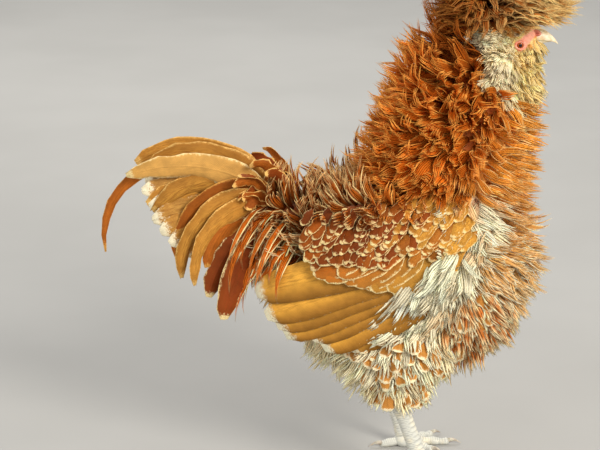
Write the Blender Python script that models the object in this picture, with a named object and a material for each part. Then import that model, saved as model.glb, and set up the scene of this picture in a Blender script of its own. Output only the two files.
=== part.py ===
"""A crested and bearded cockerel with a curled coat, standing, life-size.

Metres, +Z up. The bird faces +X, its right side is towards -Y, and the floor is Z = 0. The origin is on the
floor, under the middle of the bird's length and width.

The body is a set of plain cores, each cut clear of what it grows from. Curled feathers are grown on the cores
as flat, tapered locks, and the long feathers of the wings and tail as overlapping vanes.
"""

import math
import random

import bpy
import numpy as np
from mathutils import Vector
from mathutils.bvhtree import BVHTree

GAP = 0.0003  # kept between nodes that meet
SWELL = 0.00036  # how far a neighbour is blown up when something is cut or bent clear of it
SUNK = 0.0046  # how deep the root of a lock goes into its core
SEED = 41
TO_MIDDLE = Vector((0.0027, 0.0, 0.0))  # brings the origin under the middle of the length and width

RIGHT, LEFT = -1.0, 1.0
SIDE_NAMES = {RIGHT: "right", LEFT: "left"}

# Torso: an egg along X, fuller and higher at the breast
TORSO_MID = 0.047
TORSO_HALF_LENGTH = 0.125
TORSO_HALF_DEPTH = 0.082
TORSO_HALF_WIDTH = 0.066
TORSO_HEIGHT = 0.196
TORSO_FULLER_IN_FRONT = 0.30
TORSO_RISE = 0.002
TORSO_BOW = 0.018
TORSO_STATIONS = 11
TORSO_SIDES = 16

# Neck: a stout stem from inside the breast up to the skull
NECK_FOOT = Vector((0.094, 0.0, 0.215))
NECK_TOP = Vector((0.138, 0.0, 0.409))
NECK_FOOT_RADIUS = 0.063
NECK_TOP_RADIUS = 0.025
NECK_RINGS = 7

# Head
SKULL_CENTRE = Vector((0.150, 0.0, 0.421))
SKULL_SIZE = Vector((0.029, 0.0185, 0.0215))
FACE_CENTRE = Vector((0.1655, 0.0, 0.4185))
FACE_SIZE = Vector((0.0135, 0.0112, 0.0115))
CROWN_KNOB_CENTRE = Vector((0.147, 0.0, 0.438))
CROWN_KNOB_RADIUS = 0.0165
EYE_CENTRE = Vector((0.1605, 0.0146, 0.4175))
EYE_RADIUS = 0.0043
LID_STANDS_OUT = 0.0027
BEAK_ROOT_X = 0.1660
BEAK_TIP_X = 0.1972
MOUTH_HEIGHT = 0.4172
BEAK_ROOT_HEIGHT = 0.0118
BEAK_HOOK = 0.0044
BEAK_HALF_WIDTH = 0.0078
NOSTRIL_CENTRE = Vector((0.1752, 0.0047, 0.4262))

# Crest, beard and muffs: cores that reach at most half way to the feather tips
CREST_CENTRE = Vector((0.146, 0.0, 0.461))
CREST_SIZE = Vector((0.040, 0.038, 0.030))
BEARD_CENTRE = Vector((0.163, 0.0, 0.386))
BEARD_SIZE = Vector((0.017, 0.022, 0.021))
MUFF_CENTRE = Vector((0.143, 0.0270, 0.4010))
MUFF_SIZE = Vector((0.0145, 0.0105, 0.0150))

# Wings: every feather lies on a sheet that follows the flank, and is rooted in a pad on that sheet
WING_SHEET_HALF_WIDTH = 0.0775
WING_SHEET_MID_X = 0.060
WING_SHEET_FALL = 1.5
WING_SHEET_HEIGHT = 0.205
WING_SHEET_TOP = 0.098
WING_SHEET_BOTTOM = 0.150
WING_PAD_X = 0.058
WING_PAD_Z = 0.242
WING_PAD_HALF_LENGTH = 0.064
WING_PAD_HALF_HEIGHT = 0.044
WING_PAD_OUT = 0.0085
WING_PAD_IN = 0.018

# Tail
RUMP_FOOT = Vector((-0.020, 0.0, 0.232))
RUMP_END = Vector((-0.076, 0.0, 0.266))
RUMP_FOOT_RADIUS = 0.028
RUMP_END_RADIUS = 0.0120
TAIL_ROOT = Vector((-0.064, 0.0, 0.264))
# Side, length, width, rise and droop in degrees, how late it bends, how far it stands out sideways
SICKLES = (
    (RIGHT, 0.236, 0.0135, 57.0, 152.0, 1.20, 0.05),
    (RIGHT, 0.150, 0.0270, 52.0, 72.0, 1.0, 0.10),
    (LEFT, 0.158, 0.0250, 50.0, 88.0, 1.1, 0.12),
    (RIGHT, 0.128, 0.0150, 20.0, 104.0, 1.0, 0.26),
    (RIGHT, 0.116, 0.0150, 8.0, 98.0, 1.0, 0.34),
    (LEFT, 0.126, 0.0150, 18.0, 104.0, 1.0, 0.28),
    (LEFT, 0.114, 0.0150, 6.0, 98.0, 1.0, 0.36),
    (RIGHT, 0.124, 0.0255, -28.0, 58.0, 1.0, 0.20),
    (LEFT, 0.122, 0.0255, -28.0, 58.0, 1.0, 0.22),
    (RIGHT, 0.056, 0.0215, 62.0, 34.0, 1.0, 0.10),
    (LEFT, 0.052, 0.0215, 66.0, 34.0, 1.0, 0.12),
    (RIGHT, 0.040, 0.0190, 84.0, -40.0, 1.0, 0.20),
    (LEFT, 0.042, 0.0190, 90.0, -40.0, 1.0, 0.16),
)
TAIL_FAN = 4

# Legs
KNEE = Vector((0.058, 0.040, 0.145))
HOCKS = {RIGHT: Vector((0.0535, 0.050, 0.0865)), LEFT: Vector((0.0405, 0.049, 0.0865))}
ANKLES = {RIGHT: Vector((0.0800, 0.052, 0.0125)), LEFT: Vector((0.0640, 0.049, 0.0125))}
KNEE_RADIUS = 0.046
HOCK_RADIUS = 0.0125
SHANK_RADIUS = 0.0072
TOE_RADIUS = 0.0050
TOE_TIP_RADIUS = 0.0033
CLAW_LENGTH = 0.0120
# Toe number: turn from straight ahead, outwards, and length
TOES = {
    1: (math.radians(190.0), 0.023),
    2: (math.radians(-32.0), 0.033),
    3: (math.radians(4.0), 0.045),
    4: (math.radians(38.0), 0.037),
}

COLOURS = {
    "rust_feather": (0.47, 0.18, 0.045),
    "buff_feather": (0.66, 0.38, 0.14),
    "cream_feather": (0.82, 0.69, 0.46),
    "face_skin": (0.70, 0.24, 0.18),
    "beak_horn": (0.80, 0.70, 0.55),
    "eye_orange": (0.55, 0.16, 0.03),
    "leg_scale": (0.62, 0.60, 0.56),
    "claw_horn": (0.70, 0.66, 0.58),
}


def clear_scene():
    for old in list(bpy.data.objects):
        bpy.data.objects.remove(old, do_unlink=True)


def material(name):
    found = bpy.data.materials.get(name)
    if found:
        return found
    made = bpy.data.materials.new(name)
    made.use_nodes = True
    shader = made.node_tree.nodes["Principled BSDF"]
    shader.inputs["Base Color"].default_value = (*COLOURS[name], 1.0)
    shader.inputs["Roughness"].default_value = 0.35 if name.startswith("eye") else 0.75
    shader.inputs["Metallic"].default_value = 0.0
    return made


def smooth(t):
    t = min(1.0, max(0.0, t))
    return t * t * (3.0 - 2.0 * t)


def mirrored(vector, side):
    """The point on the bird's right or left for one given on the left."""
    return Vector((vector.x, vector.y * side, vector.z))


def signed_volume(points, faces):
    corners = points[faces]
    return float(np.einsum("ij,ij->i", corners[:, 0], np.cross(corners[:, 1], corners[:, 2])).sum()) / 6.0


class Solid:
    """A closed triangle mesh: points as an array of rows, faces as an array of three indices."""

    def __init__(self, points, faces):
        self.points = np.array([tuple(p) for p in points], float)
        self.faces = np.array(faces, int)
        if signed_volume(self.points, self.faces) < 0:
            self.faces = self.faces[:, ::-1]

    def object(self, name, shift=None):
        points = self.points if shift is None else self.points + np.array(shift)
        mesh = bpy.data.meshes.new(name)
        mesh.from_pydata(points.tolist(), [], self.faces.tolist())
        made = bpy.data.objects.new(name, mesh)
        bpy.context.scene.collection.objects.link(made)
        return made

    def tree(self):
        return BVHTree.FromPolygons(self.points.tolist(), self.faces.tolist())


def solid_of(obj):
    """The object's evaluated mesh as a Solid."""
    graph = bpy.context.evaluated_depsgraph_get()
    mesh = obj.evaluated_get(graph).to_mesh()
    mesh.calc_loop_triangles()
    points = [tuple(v.co) for v in mesh.vertices]
    faces = [tuple(t.vertices) for t in mesh.loop_triangles]
    obj.evaluated_get(graph).to_mesh_clear()
    return Solid(points, faces)


def largest_body(solid):
    """The closed surface of most volume, without the others."""
    parent = list(range(len(solid.points)))

    def root(i):
        while parent[i] != i:
            parent[i] = parent[parent[i]]
            i = parent[i]
        return i

    for a, b, c in solid.faces:
        parent[root(a)] = root(b)
        parent[root(b)] = root(c)
    groups = {}
    for face in solid.faces:
        groups.setdefault(root(face[0]), []).append(face)
    best = max(groups.values(), key=lambda group: abs(signed_volume(solid.points, np.array(group))))
    used, index = np.unique(np.array(best), return_inverse=True)
    return Solid(solid.points[used], index.reshape(-1, 3))


def swollen(solid, by=SWELL):
    """The solid with its points moved out along their normals."""
    normals = np.zeros_like(solid.points)
    corners = solid.points[solid.faces]
    face_normals = np.cross(corners[:, 1] - corners[:, 0], corners[:, 2] - corners[:, 0])
    for k in range(3):
        np.add.at(normals, solid.faces[:, k], face_normals)
    lengths = np.linalg.norm(normals, axis=1, keepdims=True)
    grown = Solid(solid.points, solid.faces)
    grown.points = solid.points + by * normals / np.maximum(lengths, 1e-12)
    return grown


def combined(first, others, operation):
    """One Boolean of a solid with several others, all in one collection."""
    kept = first.object("boolean_base")
    tools = bpy.data.collections.new("boolean_tools")
    bpy.context.scene.collection.children.link(tools)
    for number, other in enumerate(others):
        made = other.object(f"boolean_tool_{number}")
        bpy.context.scene.collection.objects.unlink(made)
        tools.objects.link(made)
    modifier = kept.modifiers.new("combine", "BOOLEAN")
    modifier.operation = operation
    modifier.operand_type = "COLLECTION"
    modifier.collection = tools
    modifier.solver = "MANIFOLD"
    made = solid_of(kept)
    for used in [kept, *tools.objects]:
        bpy.data.objects.remove(used, do_unlink=True)
    bpy.data.collections.remove(tools)
    return made


def cut_clear(solid, neighbours):
    """The solid with its neighbours, and the gap to them, cut away."""
    made = solid
    for neighbour in neighbours:
        made = combined(made, [swollen(neighbour)], "DIFFERENCE")
    return largest_body(made)


def lofted(rings, first_pole=None, last_pole=None):
    """A closed skin over rings of points, ended by a pole or by a flat fan."""
    sides = len(rings[0])
    points = [p for ring in rings for p in ring]
    faces = []
    for i in range(len(rings) - 1):
        for j in range(sides):
            a, b = i * sides + j, i * sides + (j + 1) % sides
            faces += [(a, b, b + sides), (a, b + sides, a + sides)]
    for ring, pole in ((0, first_pole), (len(rings) - 1, last_pole)):
        points.append(pole or sum((Vector(p) for p in rings[ring]), Vector()) / sides)
        for j in range(sides):
            a, b = ring * sides + j, ring * sides + (j + 1) % sides
            faces.append((b, a, len(points) - 1) if ring == 0 else (a, b, len(points) - 1))
    return Solid(points, faces)


def ellipsoid(centre, size, turn=0.0, around=16, bands=8):
    """An ellipsoid turned about the Y axis through its centre."""
    def place(x, y, z):
        x, z = x * math.cos(turn) + z * math.sin(turn), z * math.cos(turn) - x * math.sin(turn)
        return centre + Vector((x, y, z))

    rings = []
    for i in range(1, bands):
        polar = math.pi * i / bands
        rings.append([
            place(size.x * math.sin(polar) * math.cos(angle), size.y * math.sin(polar) * math.sin(angle),
                  size.z * math.cos(polar))
            for angle in (2.0 * math.pi * j / around for j in range(around))
        ])
    return lofted(rings, place(0.0, 0.0, size.z), place(0.0, 0.0, -size.z))


def stem(path, radii, across=1.0, sides=12, floor=None):
    """A tube along a path in one upright plane, with a flat side below. across scales its sideways radius.
    A tube that lies on a floor is cut off level there, and its rings stand upright."""
    rings = []
    for i, point in enumerate(path):
        ahead = path[min(i + 1, len(path) - 1)] - path[max(i - 1, 0)]
        if floor is not None:
            ahead.z = 0.0
        ahead.normalize()
        side = ahead.cross(Vector((0.0, 0.0, 1.0))).normalized()
        up = side.cross(ahead).normalized()
        ring = [
            point + side * (radii[i] * across * math.cos(a)) + up * (radii[i] * math.sin(a))
            for a in (2.0 * math.pi * (j + 0.5) / sides - math.pi / 2 for j in range(sides))
        ]
        if floor is not None:
            ring = [Vector((p.x, p.y, max(p.z, floor))) for p in ring]
        rings.append(ring)
    return lofted(rings)


def tapered(start, end, start_radius, end_radius, rings, sides, across=1.0):
    """A straight stem whose radius eases from one end to the other."""
    shares = [i / (rings - 1) for i in range(rings)]
    return stem([start.lerp(end, t) for t in shares],
                [start_radius + (end_radius - start_radius) * smooth(t) for t in shares], across, sides)


def curve_points(length, start_angle, end_angle, count):
    """Points along an arc of that length in a plane, as (along, out, angle), with the bend spread evenly."""
    made = [(0.0, 0.0, start_angle)]
    steps = 24
    along = out = 0.0
    for i in range(steps):
        angle = start_angle + (end_angle - start_angle) * (i + 0.5) / steps
        along += math.cos(angle) * length / steps
        out += math.sin(angle) * length / steps
        if (i + 1) * (count - 1) % steps == 0:
            made.append((along, out, start_angle + (end_angle - start_angle) * (i + 1) / steps))
    return made


LOCK_SHARES = (0.62, 1.0, 0.74)


def lock(root, normal, lie, length, width, start, end, thick=0.0016, fat=0.0):
    """A flat, tapered lock: it leaves the surface at the start angle to its lie and curls to the end angle."""
    lie = (lie - normal * lie.dot(normal)).normalized()
    side = normal.cross(lie).normalized()
    foot = root - (lie * math.cos(start) + normal * math.sin(start)) * SUNK
    arc = curve_points(length + SUNK, start, end, len(LOCK_SHARES) + 1)
    points = []
    for (along, out, angle), share in zip(arc, LOCK_SHARES):
        centre = foot + lie * along + normal * out
        ridge = normal * math.cos(angle) - lie * math.sin(angle)
        half = side * (width * 0.5 * share + fat)
        points += [centre - half - ridge * fat, centre + half - ridge * fat,
                   centre + ridge * (thick * (0.55 + 0.45 * share) + fat)]
    along, out, angle = arc[-1]
    points.append(foot + lie * along + normal * out + (lie * math.cos(angle) + normal * math.sin(angle)) * fat)
    faces = [(0, 2, 1)]
    for i in range(len(LOCK_SHARES) - 1):
        for j in range(3):
            a, b = i * 3 + j, i * 3 + (j + 1) % 3
            faces += [(a, b, b + 3), (a, b + 3, a + 3)]
    last = (len(LOCK_SHARES) - 1) * 3
    faces += [(last + j, last + (j + 1) % 3, len(points) - 1) for j in range(3)]
    return Solid(points, faces)


VANE_STATIONS = (0.0, 0.22, 0.52, 0.82, 1.0)
VANE_WIDTHS = (0.26, 0.76, 1.0, 0.88, 0.30)
POINTED_WIDTHS = (0.34, 0.84, 1.0, 0.62, 0.10)
VANE_STEPS = 50


def vane(centres, sides, lifts, widths, thick=0.0007, fat=0.0):
    """A thin feather along centres. Both of its faces are split into triangles alike."""
    points = []
    for centre, side, lift, width in zip(centres, sides, lifts, widths):
        half, up = side * (width * 0.5 + fat), lift * (thick * 0.5 + fat)
        points += [centre - half - up, centre + half - up, centre + half + up, centre - half + up]
    faces = [(0, 2, 1), (0, 3, 2)]
    for i in range(len(centres) - 1):
        a = i * 4
        low_left, low_right, top_right, top_left = a, a + 1, a + 2, a + 3
        faces += [(low_left, low_right, low_right + 4), (low_left, low_right + 4, low_left + 4)]
        faces += [(top_left, top_right + 4, top_right), (top_left, top_left + 4, top_right + 4)]
        faces += [(low_right, top_right, top_right + 4), (low_right, top_right + 4, low_right + 4)]
        faces += [(top_left, low_left, low_left + 4), (top_left, low_left + 4, top_left + 4)]
    end = (len(centres) - 1) * 4
    faces += [(end, end + 1, end + 2), (end, end + 2, end + 3)]
    return Solid(points, faces)


def bent_vane(root, heading, out, length, width, droop, late=1.0, tilt=0.0, cup=0.0, pointed=False):
    """A function of fat that makes a vane: it starts along the heading and bends by droop within its own plane,
    by cup towards out, and is tilted about its own line by tilt."""
    heading = heading.normalized()
    out = (out - heading * out.dot(heading)).normalized()
    down = heading.cross(out).normalized()

    def ahead_at(share):
        angle, lift = droop * share ** late, cup * share
        flat = heading * math.cos(angle) + down * math.sin(angle)
        return (flat * math.cos(lift) + out * math.sin(lift)).normalized()

    def make(fat=0.0):
        centres, sides, lifts = [], [], []
        point, done = root.copy(), 0
        for station in VANE_STATIONS:
            while done < round(station * VANE_STEPS):
                point = point + ahead_at((done + 0.5) / VANE_STEPS) * (length / VANE_STEPS)
                done += 1
            ahead = ahead_at(station)
            across = ahead.cross(out).normalized()
            face = across.cross(ahead).normalized()
            centres.append(point.copy())
            sides.append(across * math.cos(tilt) + face * math.sin(tilt))
            lifts.append(face * math.cos(tilt) - across * math.sin(tilt))
        shares = POINTED_WIDTHS if pointed else VANE_WIDTHS
        return vane(centres, sides, lifts, [width * s for s in shares], fat=fat)

    return make


class Node:
    """A named part of the bird: its core, and the locks and vanes that are fused to it."""

    def __init__(self, name, colour, core):
        self.name, self.colour, self.core = name, colour, core
        self.pieces, self.fat_trees, self.blocks = [], [], []

    def close(self):
        """Keeps the trees of all that another node has to stay clear of."""
        self.blocks = [swollen(self.core).tree(), *self.fat_trees]

    def add(self, make, others):
        """Adds a piece if its thickened form is clear of the other nodes. make is a function of fat."""
        tree = make(fat=SWELL * 0.5).tree()
        if any(tree.overlap(block) for other in others for block in other.blocks):
            return False
        self.pieces.append(make())
        self.fat_trees.append(tree)
        return True

    def build(self):
        solid = self.core
        if self.pieces:
            solid = largest_body(combined(solid, self.pieces, "UNION"))
        obj = solid.object(self.name, TO_MIDDLE)
        obj.data.materials.append(material(self.colour))
        obj.data.shade_smooth()
        obj.data.set_sharp_from_angle(angle=math.radians(40.0))


def scattered(solid, spacing, wanted, rng, candidates=5000):
    """Roots spread evenly over a solid's surface where wanted(point, normal) holds, as (point, normal)."""
    corners = solid.points[solid.faces]
    normals = np.cross(corners[:, 1] - corners[:, 0], corners[:, 2] - corners[:, 0])
    areas = np.linalg.norm(normals, axis=1)
    totals = np.cumsum(areas)
    kept = []
    for _ in range(candidates):
        index = min(int(np.searchsorted(totals, rng.random() * totals[-1])), len(areas) - 1)
        a, b = sorted((rng.random(), rng.random()))
        corner = corners[index]
        point = Vector(corner[0] * a + corner[1] * (b - a) + corner[2] * (1.0 - b))
        normal = Vector(normals[index] / areas[index])
        if not wanted(point, normal):
            continue
        near = spacing(point) if callable(spacing) else spacing
        if all((point - other).length > near for other, _ in kept):
            kept.append((point, normal))
    return kept


def grow(node, others, roots, shape):
    """Grows a lock at each root. shape gives lie, length, width, start and end angle. One that would cross
    another node is turned, lifted and shortened, and is left out if nothing helps."""
    for root, normal in roots:
        lie, length, width, start, end = shape(root, normal)
        for turn, lift, share in ((0, 0, 1.0), (20, 0, 0.9), (-20, 0, 0.9), (0, 25, 0.85), (35, 20, 0.7),
                                  (-35, 20, 0.7), (0, 40, 0.6), (0, 10, 0.5)):
            side = normal.cross(lie)
            turned = lie * math.cos(math.radians(turn)) + side * math.sin(math.radians(turn))
            raised = math.radians(lift)

            def make(fat=0.0):
                return lock(root, normal, turned, length * share, width, start + raised, end + raised, fat=fat)

            if node.add(make, others):
                break


def torso_full(u):
    return math.sqrt(max(0.0, 1.0 - u * u)) * (1.0 + TORSO_FULLER_IN_FRONT * u)


def torso_centre(u):
    return Vector((TORSO_MID + TORSO_HALF_LENGTH * u, 0.0, TORSO_HEIGHT + TORSO_RISE * u + TORSO_BOW * u * u))


def torso_core():
    rings = []
    for i in range(1, TORSO_STATIONS):
        u = -math.cos(math.pi * i / TORSO_STATIONS)
        centre, full = torso_centre(u), torso_full(u)
        rings.append([
            centre + Vector((0.0, TORSO_HALF_WIDTH * full * math.cos(a), TORSO_HALF_DEPTH * full * math.sin(a)))
            for a in (2.0 * math.pi * j / TORSO_SIDES for j in range(TORSO_SIDES))
        ])
    return lofted(rings, torso_centre(-1.0), torso_centre(1.0))


def neck_core():
    path, radii = [], []
    for i in range(NECK_RINGS):
        t = i / (NECK_RINGS - 1)
        path.append(Vector((NECK_FOOT.x + (NECK_TOP.x - NECK_FOOT.x) * t ** 3.0, 0.0,
                            NECK_FOOT.z + (NECK_TOP.z - NECK_FOOT.z) * t)))
        radii.append(NECK_FOOT_RADIUS + (NECK_TOP_RADIUS - NECK_FOOT_RADIUS) * t ** 4.0)
    return stem(path, radii, across=0.94, sides=16)


def mouth_line(x):
    """Height of the slit between the halves of the beak, which bends down to the hook."""
    return MOUTH_HEIGHT - BEAK_HOOK * ((x - BEAK_ROOT_X) / (BEAK_TIP_X - BEAK_ROOT_X)) ** 4


def beak(lower):
    """Half of the beak as a loft from its root to its tip."""
    rings = []
    count = 6
    way = -1.0 if lower else 1.0
    length = (BEAK_TIP_X - BEAK_ROOT_X) * (0.80 if lower else 1.0)
    for i in range(count):
        t = i / count
        x = BEAK_ROOT_X + length * t
        high = (0.0055 if lower else BEAK_ROOT_HEIGHT) * (1.0 - t ** 1.8)
        wide = BEAK_HALF_WIDTH * (0.86 if lower else 1.0) * (1.0 - t ** 1.5)
        rings.append([
            Vector((x, wide * math.cos(a), mouth_line(x) + way * (GAP + high * math.sin(a))))
            for a in (math.pi * j / 6 for j in range(7))
        ])
    end = BEAK_ROOT_X + length
    return lofted(rings, last_pole=Vector((end, 0.0, mouth_line(end) + way * GAP)))


def upper_beak():
    """The upper half, with the breed's high nostrils, each a raised rim with a slit."""
    sides = (RIGHT, LEFT)
    rims = [ellipsoid(mirrored(NOSTRIL_CENTRE, s), Vector((0.0046, 0.0026, 0.0028)), 0.1, 8, 4) for s in sides]
    made = combined(beak(lower=False), rims, "UNION")
    slit_centre = NOSTRIL_CENTRE + Vector((0.0006, 0.0026, 0.0003))
    slits = [ellipsoid(mirrored(slit_centre, s), Vector((0.0028, 0.0013, 0.0010)), 0.15, 6, 4) for s in sides]
    return largest_body(combined(made, slits, "DIFFERENCE"))


def eye(side):
    return ellipsoid(mirrored(EYE_CENTRE, side), Vector((EYE_RADIUS,) * 3), 0.0, 10, 6)


def lid_ring(side):
    """The bare rim round an eye, as a ring of small round section."""
    centre = mirrored(EYE_CENTRE + Vector((0.0, LID_STANDS_OUT, 0.0)), side)
    major, minor, around, section = EYE_RADIUS * 0.92, 0.0012, 10, 4
    points, faces = [], []
    for i in range(around):
        a = 2.0 * math.pi * i / around
        out = Vector((math.cos(a), 0.0, math.sin(a) * 0.86))
        for j in range(section):
            b = 2.0 * math.pi * j / section
            points.append(centre + out * (major + minor * math.cos(b)) + Vector((0.0, minor * math.sin(b), 0.0)))
    for i in range(around):
        for j in range(section):
            a, b = i * section + j, i * section + (j + 1) % section
            c, d = (a + section) % len(points), (b + section) % len(points)
            faces += [(a, b, d), (a, d, c)]
    return Solid(points, faces)


def head_core(eyes, neck):
    """The skull with the knob that carries the crest, the bare face and the lids, cut for the eyes."""
    face = ellipsoid(FACE_CENTRE, FACE_SIZE, 0.0, 10, 6)
    knob = ellipsoid(CROWN_KNOB_CENTRE, Vector((CROWN_KNOB_RADIUS,) * 3), 0.0, 8, 5)
    skull = ellipsoid(SKULL_CENTRE, SKULL_SIZE, 0.0, 14, 8)
    made = combined(skull, [face, knob, lid_ring(RIGHT), lid_ring(LEFT)], "UNION")
    return cut_clear(made, [*eyes, neck])


def wing_sheet(x, z, side, out=0.0):
    """The point of the sheet on a flank at that x and z, moved outwards."""
    half = WING_SHEET_HALF_WIDTH - WING_SHEET_FALL * (x - WING_SHEET_MID_X) ** 2
    reach = WING_SHEET_TOP if z > WING_SHEET_HEIGHT else WING_SHEET_BOTTOM
    share = min(0.98, abs(z - WING_SHEET_HEIGHT) / reach)
    return Vector((x, side * (half * math.sqrt(1.0 - share * share) + out), z))


def sheet_normal(x, z, side):
    step = 0.002
    along = wing_sheet(x + step, z, side) - wing_sheet(x - step, z, side)
    up = wing_sheet(x, z + step, side) - wing_sheet(x, z - step, side)
    normal = up.cross(along).normalized()
    return normal if normal.y * side > 0 else -normal


def wing_pad(side):
    """The folded arm: a lens on the sheet, thick inwards until it meets the flank."""
    around = 16

    def ring(reach, out):
        return [
            wing_sheet(WING_PAD_X + WING_PAD_HALF_LENGTH * reach * math.cos(a),
                       WING_PAD_Z + WING_PAD_HALF_HEIGHT * reach * math.sin(a), side,
                       out * max(0.0, 1.0 - reach * reach) ** 0.25)
            for a in (2.0 * math.pi * j / around for j in range(around))
        ]

    rings = [ring(0.6, WING_PAD_OUT), ring(0.93, WING_PAD_OUT), ring(1.0, 0.0), ring(0.80, -WING_PAD_IN)]
    return lofted(rings, wing_sheet(WING_PAD_X, WING_PAD_Z, side, WING_PAD_OUT),
                  wing_sheet(WING_PAD_X, WING_PAD_Z, side, -WING_PAD_IN))


def wing_vane(x, z, heading, length, width, droop, tier, tilt, side):
    """A function of fat that lays a vane on the sheet from a root at x and z. The heading is measured down
    from straight back, droop is how far it turns further down, and tilt shingles it over its neighbours.
    The vane starts inside the pad, at its tier's height over the sheet."""
    def make(fat=0.0):
        centres, sides, lifts = [], [], []
        here_x, here_z, done = x, z, 0
        for station in VANE_STATIONS:
            while done < round(station * VANE_STEPS):
                angle = heading + droop * (done + 0.5) / VANE_STEPS
                here_x -= math.cos(angle) * length / VANE_STEPS
                here_z -= math.sin(angle) * length / VANE_STEPS
                done += 1
            angle = heading + droop * station
            normal = sheet_normal(here_x, here_z, side)
            beyond = wing_sheet(here_x - math.cos(angle) * 0.002, here_z - math.sin(angle) * 0.002, side)
            ahead = (beyond - wing_sheet(here_x, here_z, side)).normalized()
            across = ahead.cross(normal).normalized() * side
            centres.append(wing_sheet(here_x, here_z, side, tier))
            sides.append(across * math.cos(tilt) + normal * math.sin(tilt))
            lifts.append((normal * math.cos(tilt) - across * math.sin(tilt)).normalized())
        return vane(centres, sides, lifts, [width * s for s in VANE_WIDTHS], fat=fat)

    return make


def wing_tier(count, side, x, z, heading, length, width, droop, tier):
    """A row of vanes. x, z, heading and length are each a pair: at the foremost vane and at the rearmost."""
    made = []
    for i in range(count):
        t = i / (count - 1)
        made.append(wing_vane(x[0] + (x[1] - x[0]) * t, z[0] + (z[1] - z[0]) * t,
                              math.radians(heading[0] + (heading[1] - heading[0]) * t),
                              length[0] + (length[1] - length[0]) * t ** 0.75, width, math.radians(droop),
                              tier, math.radians(8), side))
    return made


def wing_feathers(side):
    """Every vane of a wing, lowest tier first: flights, secondaries, coverts and lesser coverts."""
    return [
        *wing_tier(5, side, (0.094, 0.082), (0.214, 0.238), (35, 17), (0.106, 0.180), 0.0330, 7, 0.0005),
        *wing_tier(6, side, (0.104, 0.026), (0.244, 0.238), (37, 20), (0.078, 0.054), 0.0260, 9, 0.0031),
        *wing_tier(5, side, (0.098, 0.024), (0.258, 0.257), (30, 15), (0.036, 0.050), 0.0250, 6, 0.0055),
        *wing_tier(4, side, (0.086, 0.028), (0.270, 0.270), (24, 12), (0.034, 0.036), 0.0250, 4, 0.0076),
    ]


def tail_feathers():
    """Every vane of the tail: the upright fan on each side, the sickles and the coverts."""
    made = []
    for side in (RIGHT, LEFT):
        for i in range(TAIL_FAN):
            t = i / (TAIL_FAN - 1)
            rise = math.radians(40 - 50 * t)
            root = TAIL_ROOT + Vector((0.004 * t, side * (0.0035 + 0.0016 * i), 0.003 - 0.012 * t))
            out = Vector((0.0, side, 0.12)).normalized()
            heading = Vector((-math.cos(rise), side * (0.05 + 0.10 * t), math.sin(rise)))
            made.append(bent_vane(root, heading, out, 0.132 - 0.024 * t, 0.0260, side * math.radians(40 - 8 * t),
                                  tilt=math.radians(-8), cup=math.radians(4 + 4 * t)))
    for side, length, width, rise, droop, late, sideways in SICKLES:
        angle = math.radians(rise)
        root = TAIL_ROOT + Vector((0.004, side * (0.002 + 0.02 * sideways), 0.0))
        heading = Vector((-math.cos(angle), side * sideways, math.sin(angle)))
        made.append(bent_vane(root, heading, Vector((0.0, side, 0.1)), length, width, side * math.radians(droop),
                              late=late, tilt=math.radians(-6), cup=math.radians(-4), pointed=width < 0.018))
    return made


def leg_core(side):
    return tapered(mirrored(KNEE, side), mirrored(HOCKS[side], side), KNEE_RADIUS, HOCK_RADIUS, 6, 12, across=0.80)


def shank_core(side):
    hock, ankle = mirrored(HOCKS[side], side), mirrored(ANKLES[side], side)
    path, radii = [], []
    for t in (-0.06, 0.03, 0.16, 0.50, 0.86, 1.0):
        path.append(hock.lerp(ankle, t))
        knob = 0.0024 * math.exp(-((t - 0.03) / 0.12) ** 2) + 0.0012 * math.exp(-((t - 1.0) / 0.10) ** 2)
        radii.append(SHANK_RADIUS + knob)
    return stem(path, radii, across=0.80, sides=10)


def toe_heading(number, side):
    turn = TOES[number][0]
    return Vector((math.cos(turn), side * math.sin(turn), 0.0))


def floor_under(side):
    ankle = mirrored(ANKLES[side], side)
    return Vector((ankle.x, ankle.y, 0.0))


def toe_solid(number, side):
    """A toe with its joints as low swellings, flat where it lies on the floor."""
    length = TOES[number][1]
    heading = toe_heading(number, side)
    path, radii = [], []
    count = 6
    for i in range(count):
        t = i / (count - 1)
        radius = TOE_RADIUS + (TOE_TIP_RADIUS - TOE_RADIUS) * t + 0.0003 * math.cos(math.pi * i)
        lift = Vector((0.0, 0.0, radius * 0.86 + 0.004 * (1.0 - t) ** 3))
        path.append(floor_under(side) + heading * (length * t) + lift)
        radii.append(radius)
    return stem(path, radii, across=1.05, sides=7, floor=0.0)


def foot_core(side):
    pad = ellipsoid(floor_under(side) + Vector((0.001, 0.0, 0.0062)), Vector((0.0098, 0.0088, 0.0085)), 0.0, 8, 5)
    pad.points[:, 2] = np.maximum(pad.points[:, 2], 0.0)
    return combined(pad, [toe_solid(number, side) for number in TOES], "UNION")


def claw_solid(number, side):
    """A claw that starts face to face with the end of its toe and bends down to just above the floor."""
    heading = toe_heading(number, side)
    end = floor_under(side) + heading * (TOES[number][1] + GAP)
    path, radii = [], []
    count = 4
    for i in range(count):
        t = i / (count - 1)
        height = 0.0034 + 0.0016 * math.sin(math.pi * min(1.0, t * 1.1)) - 0.0024 * t * t
        path.append(end + heading * (CLAW_LENGTH * t) + Vector((0.0, 0.0, height)))
        radii.append(0.0023 * (1.0 - 0.86 * t))
    return stem(path, radii, across=0.85, sides=5, floor=0.0004)


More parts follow.
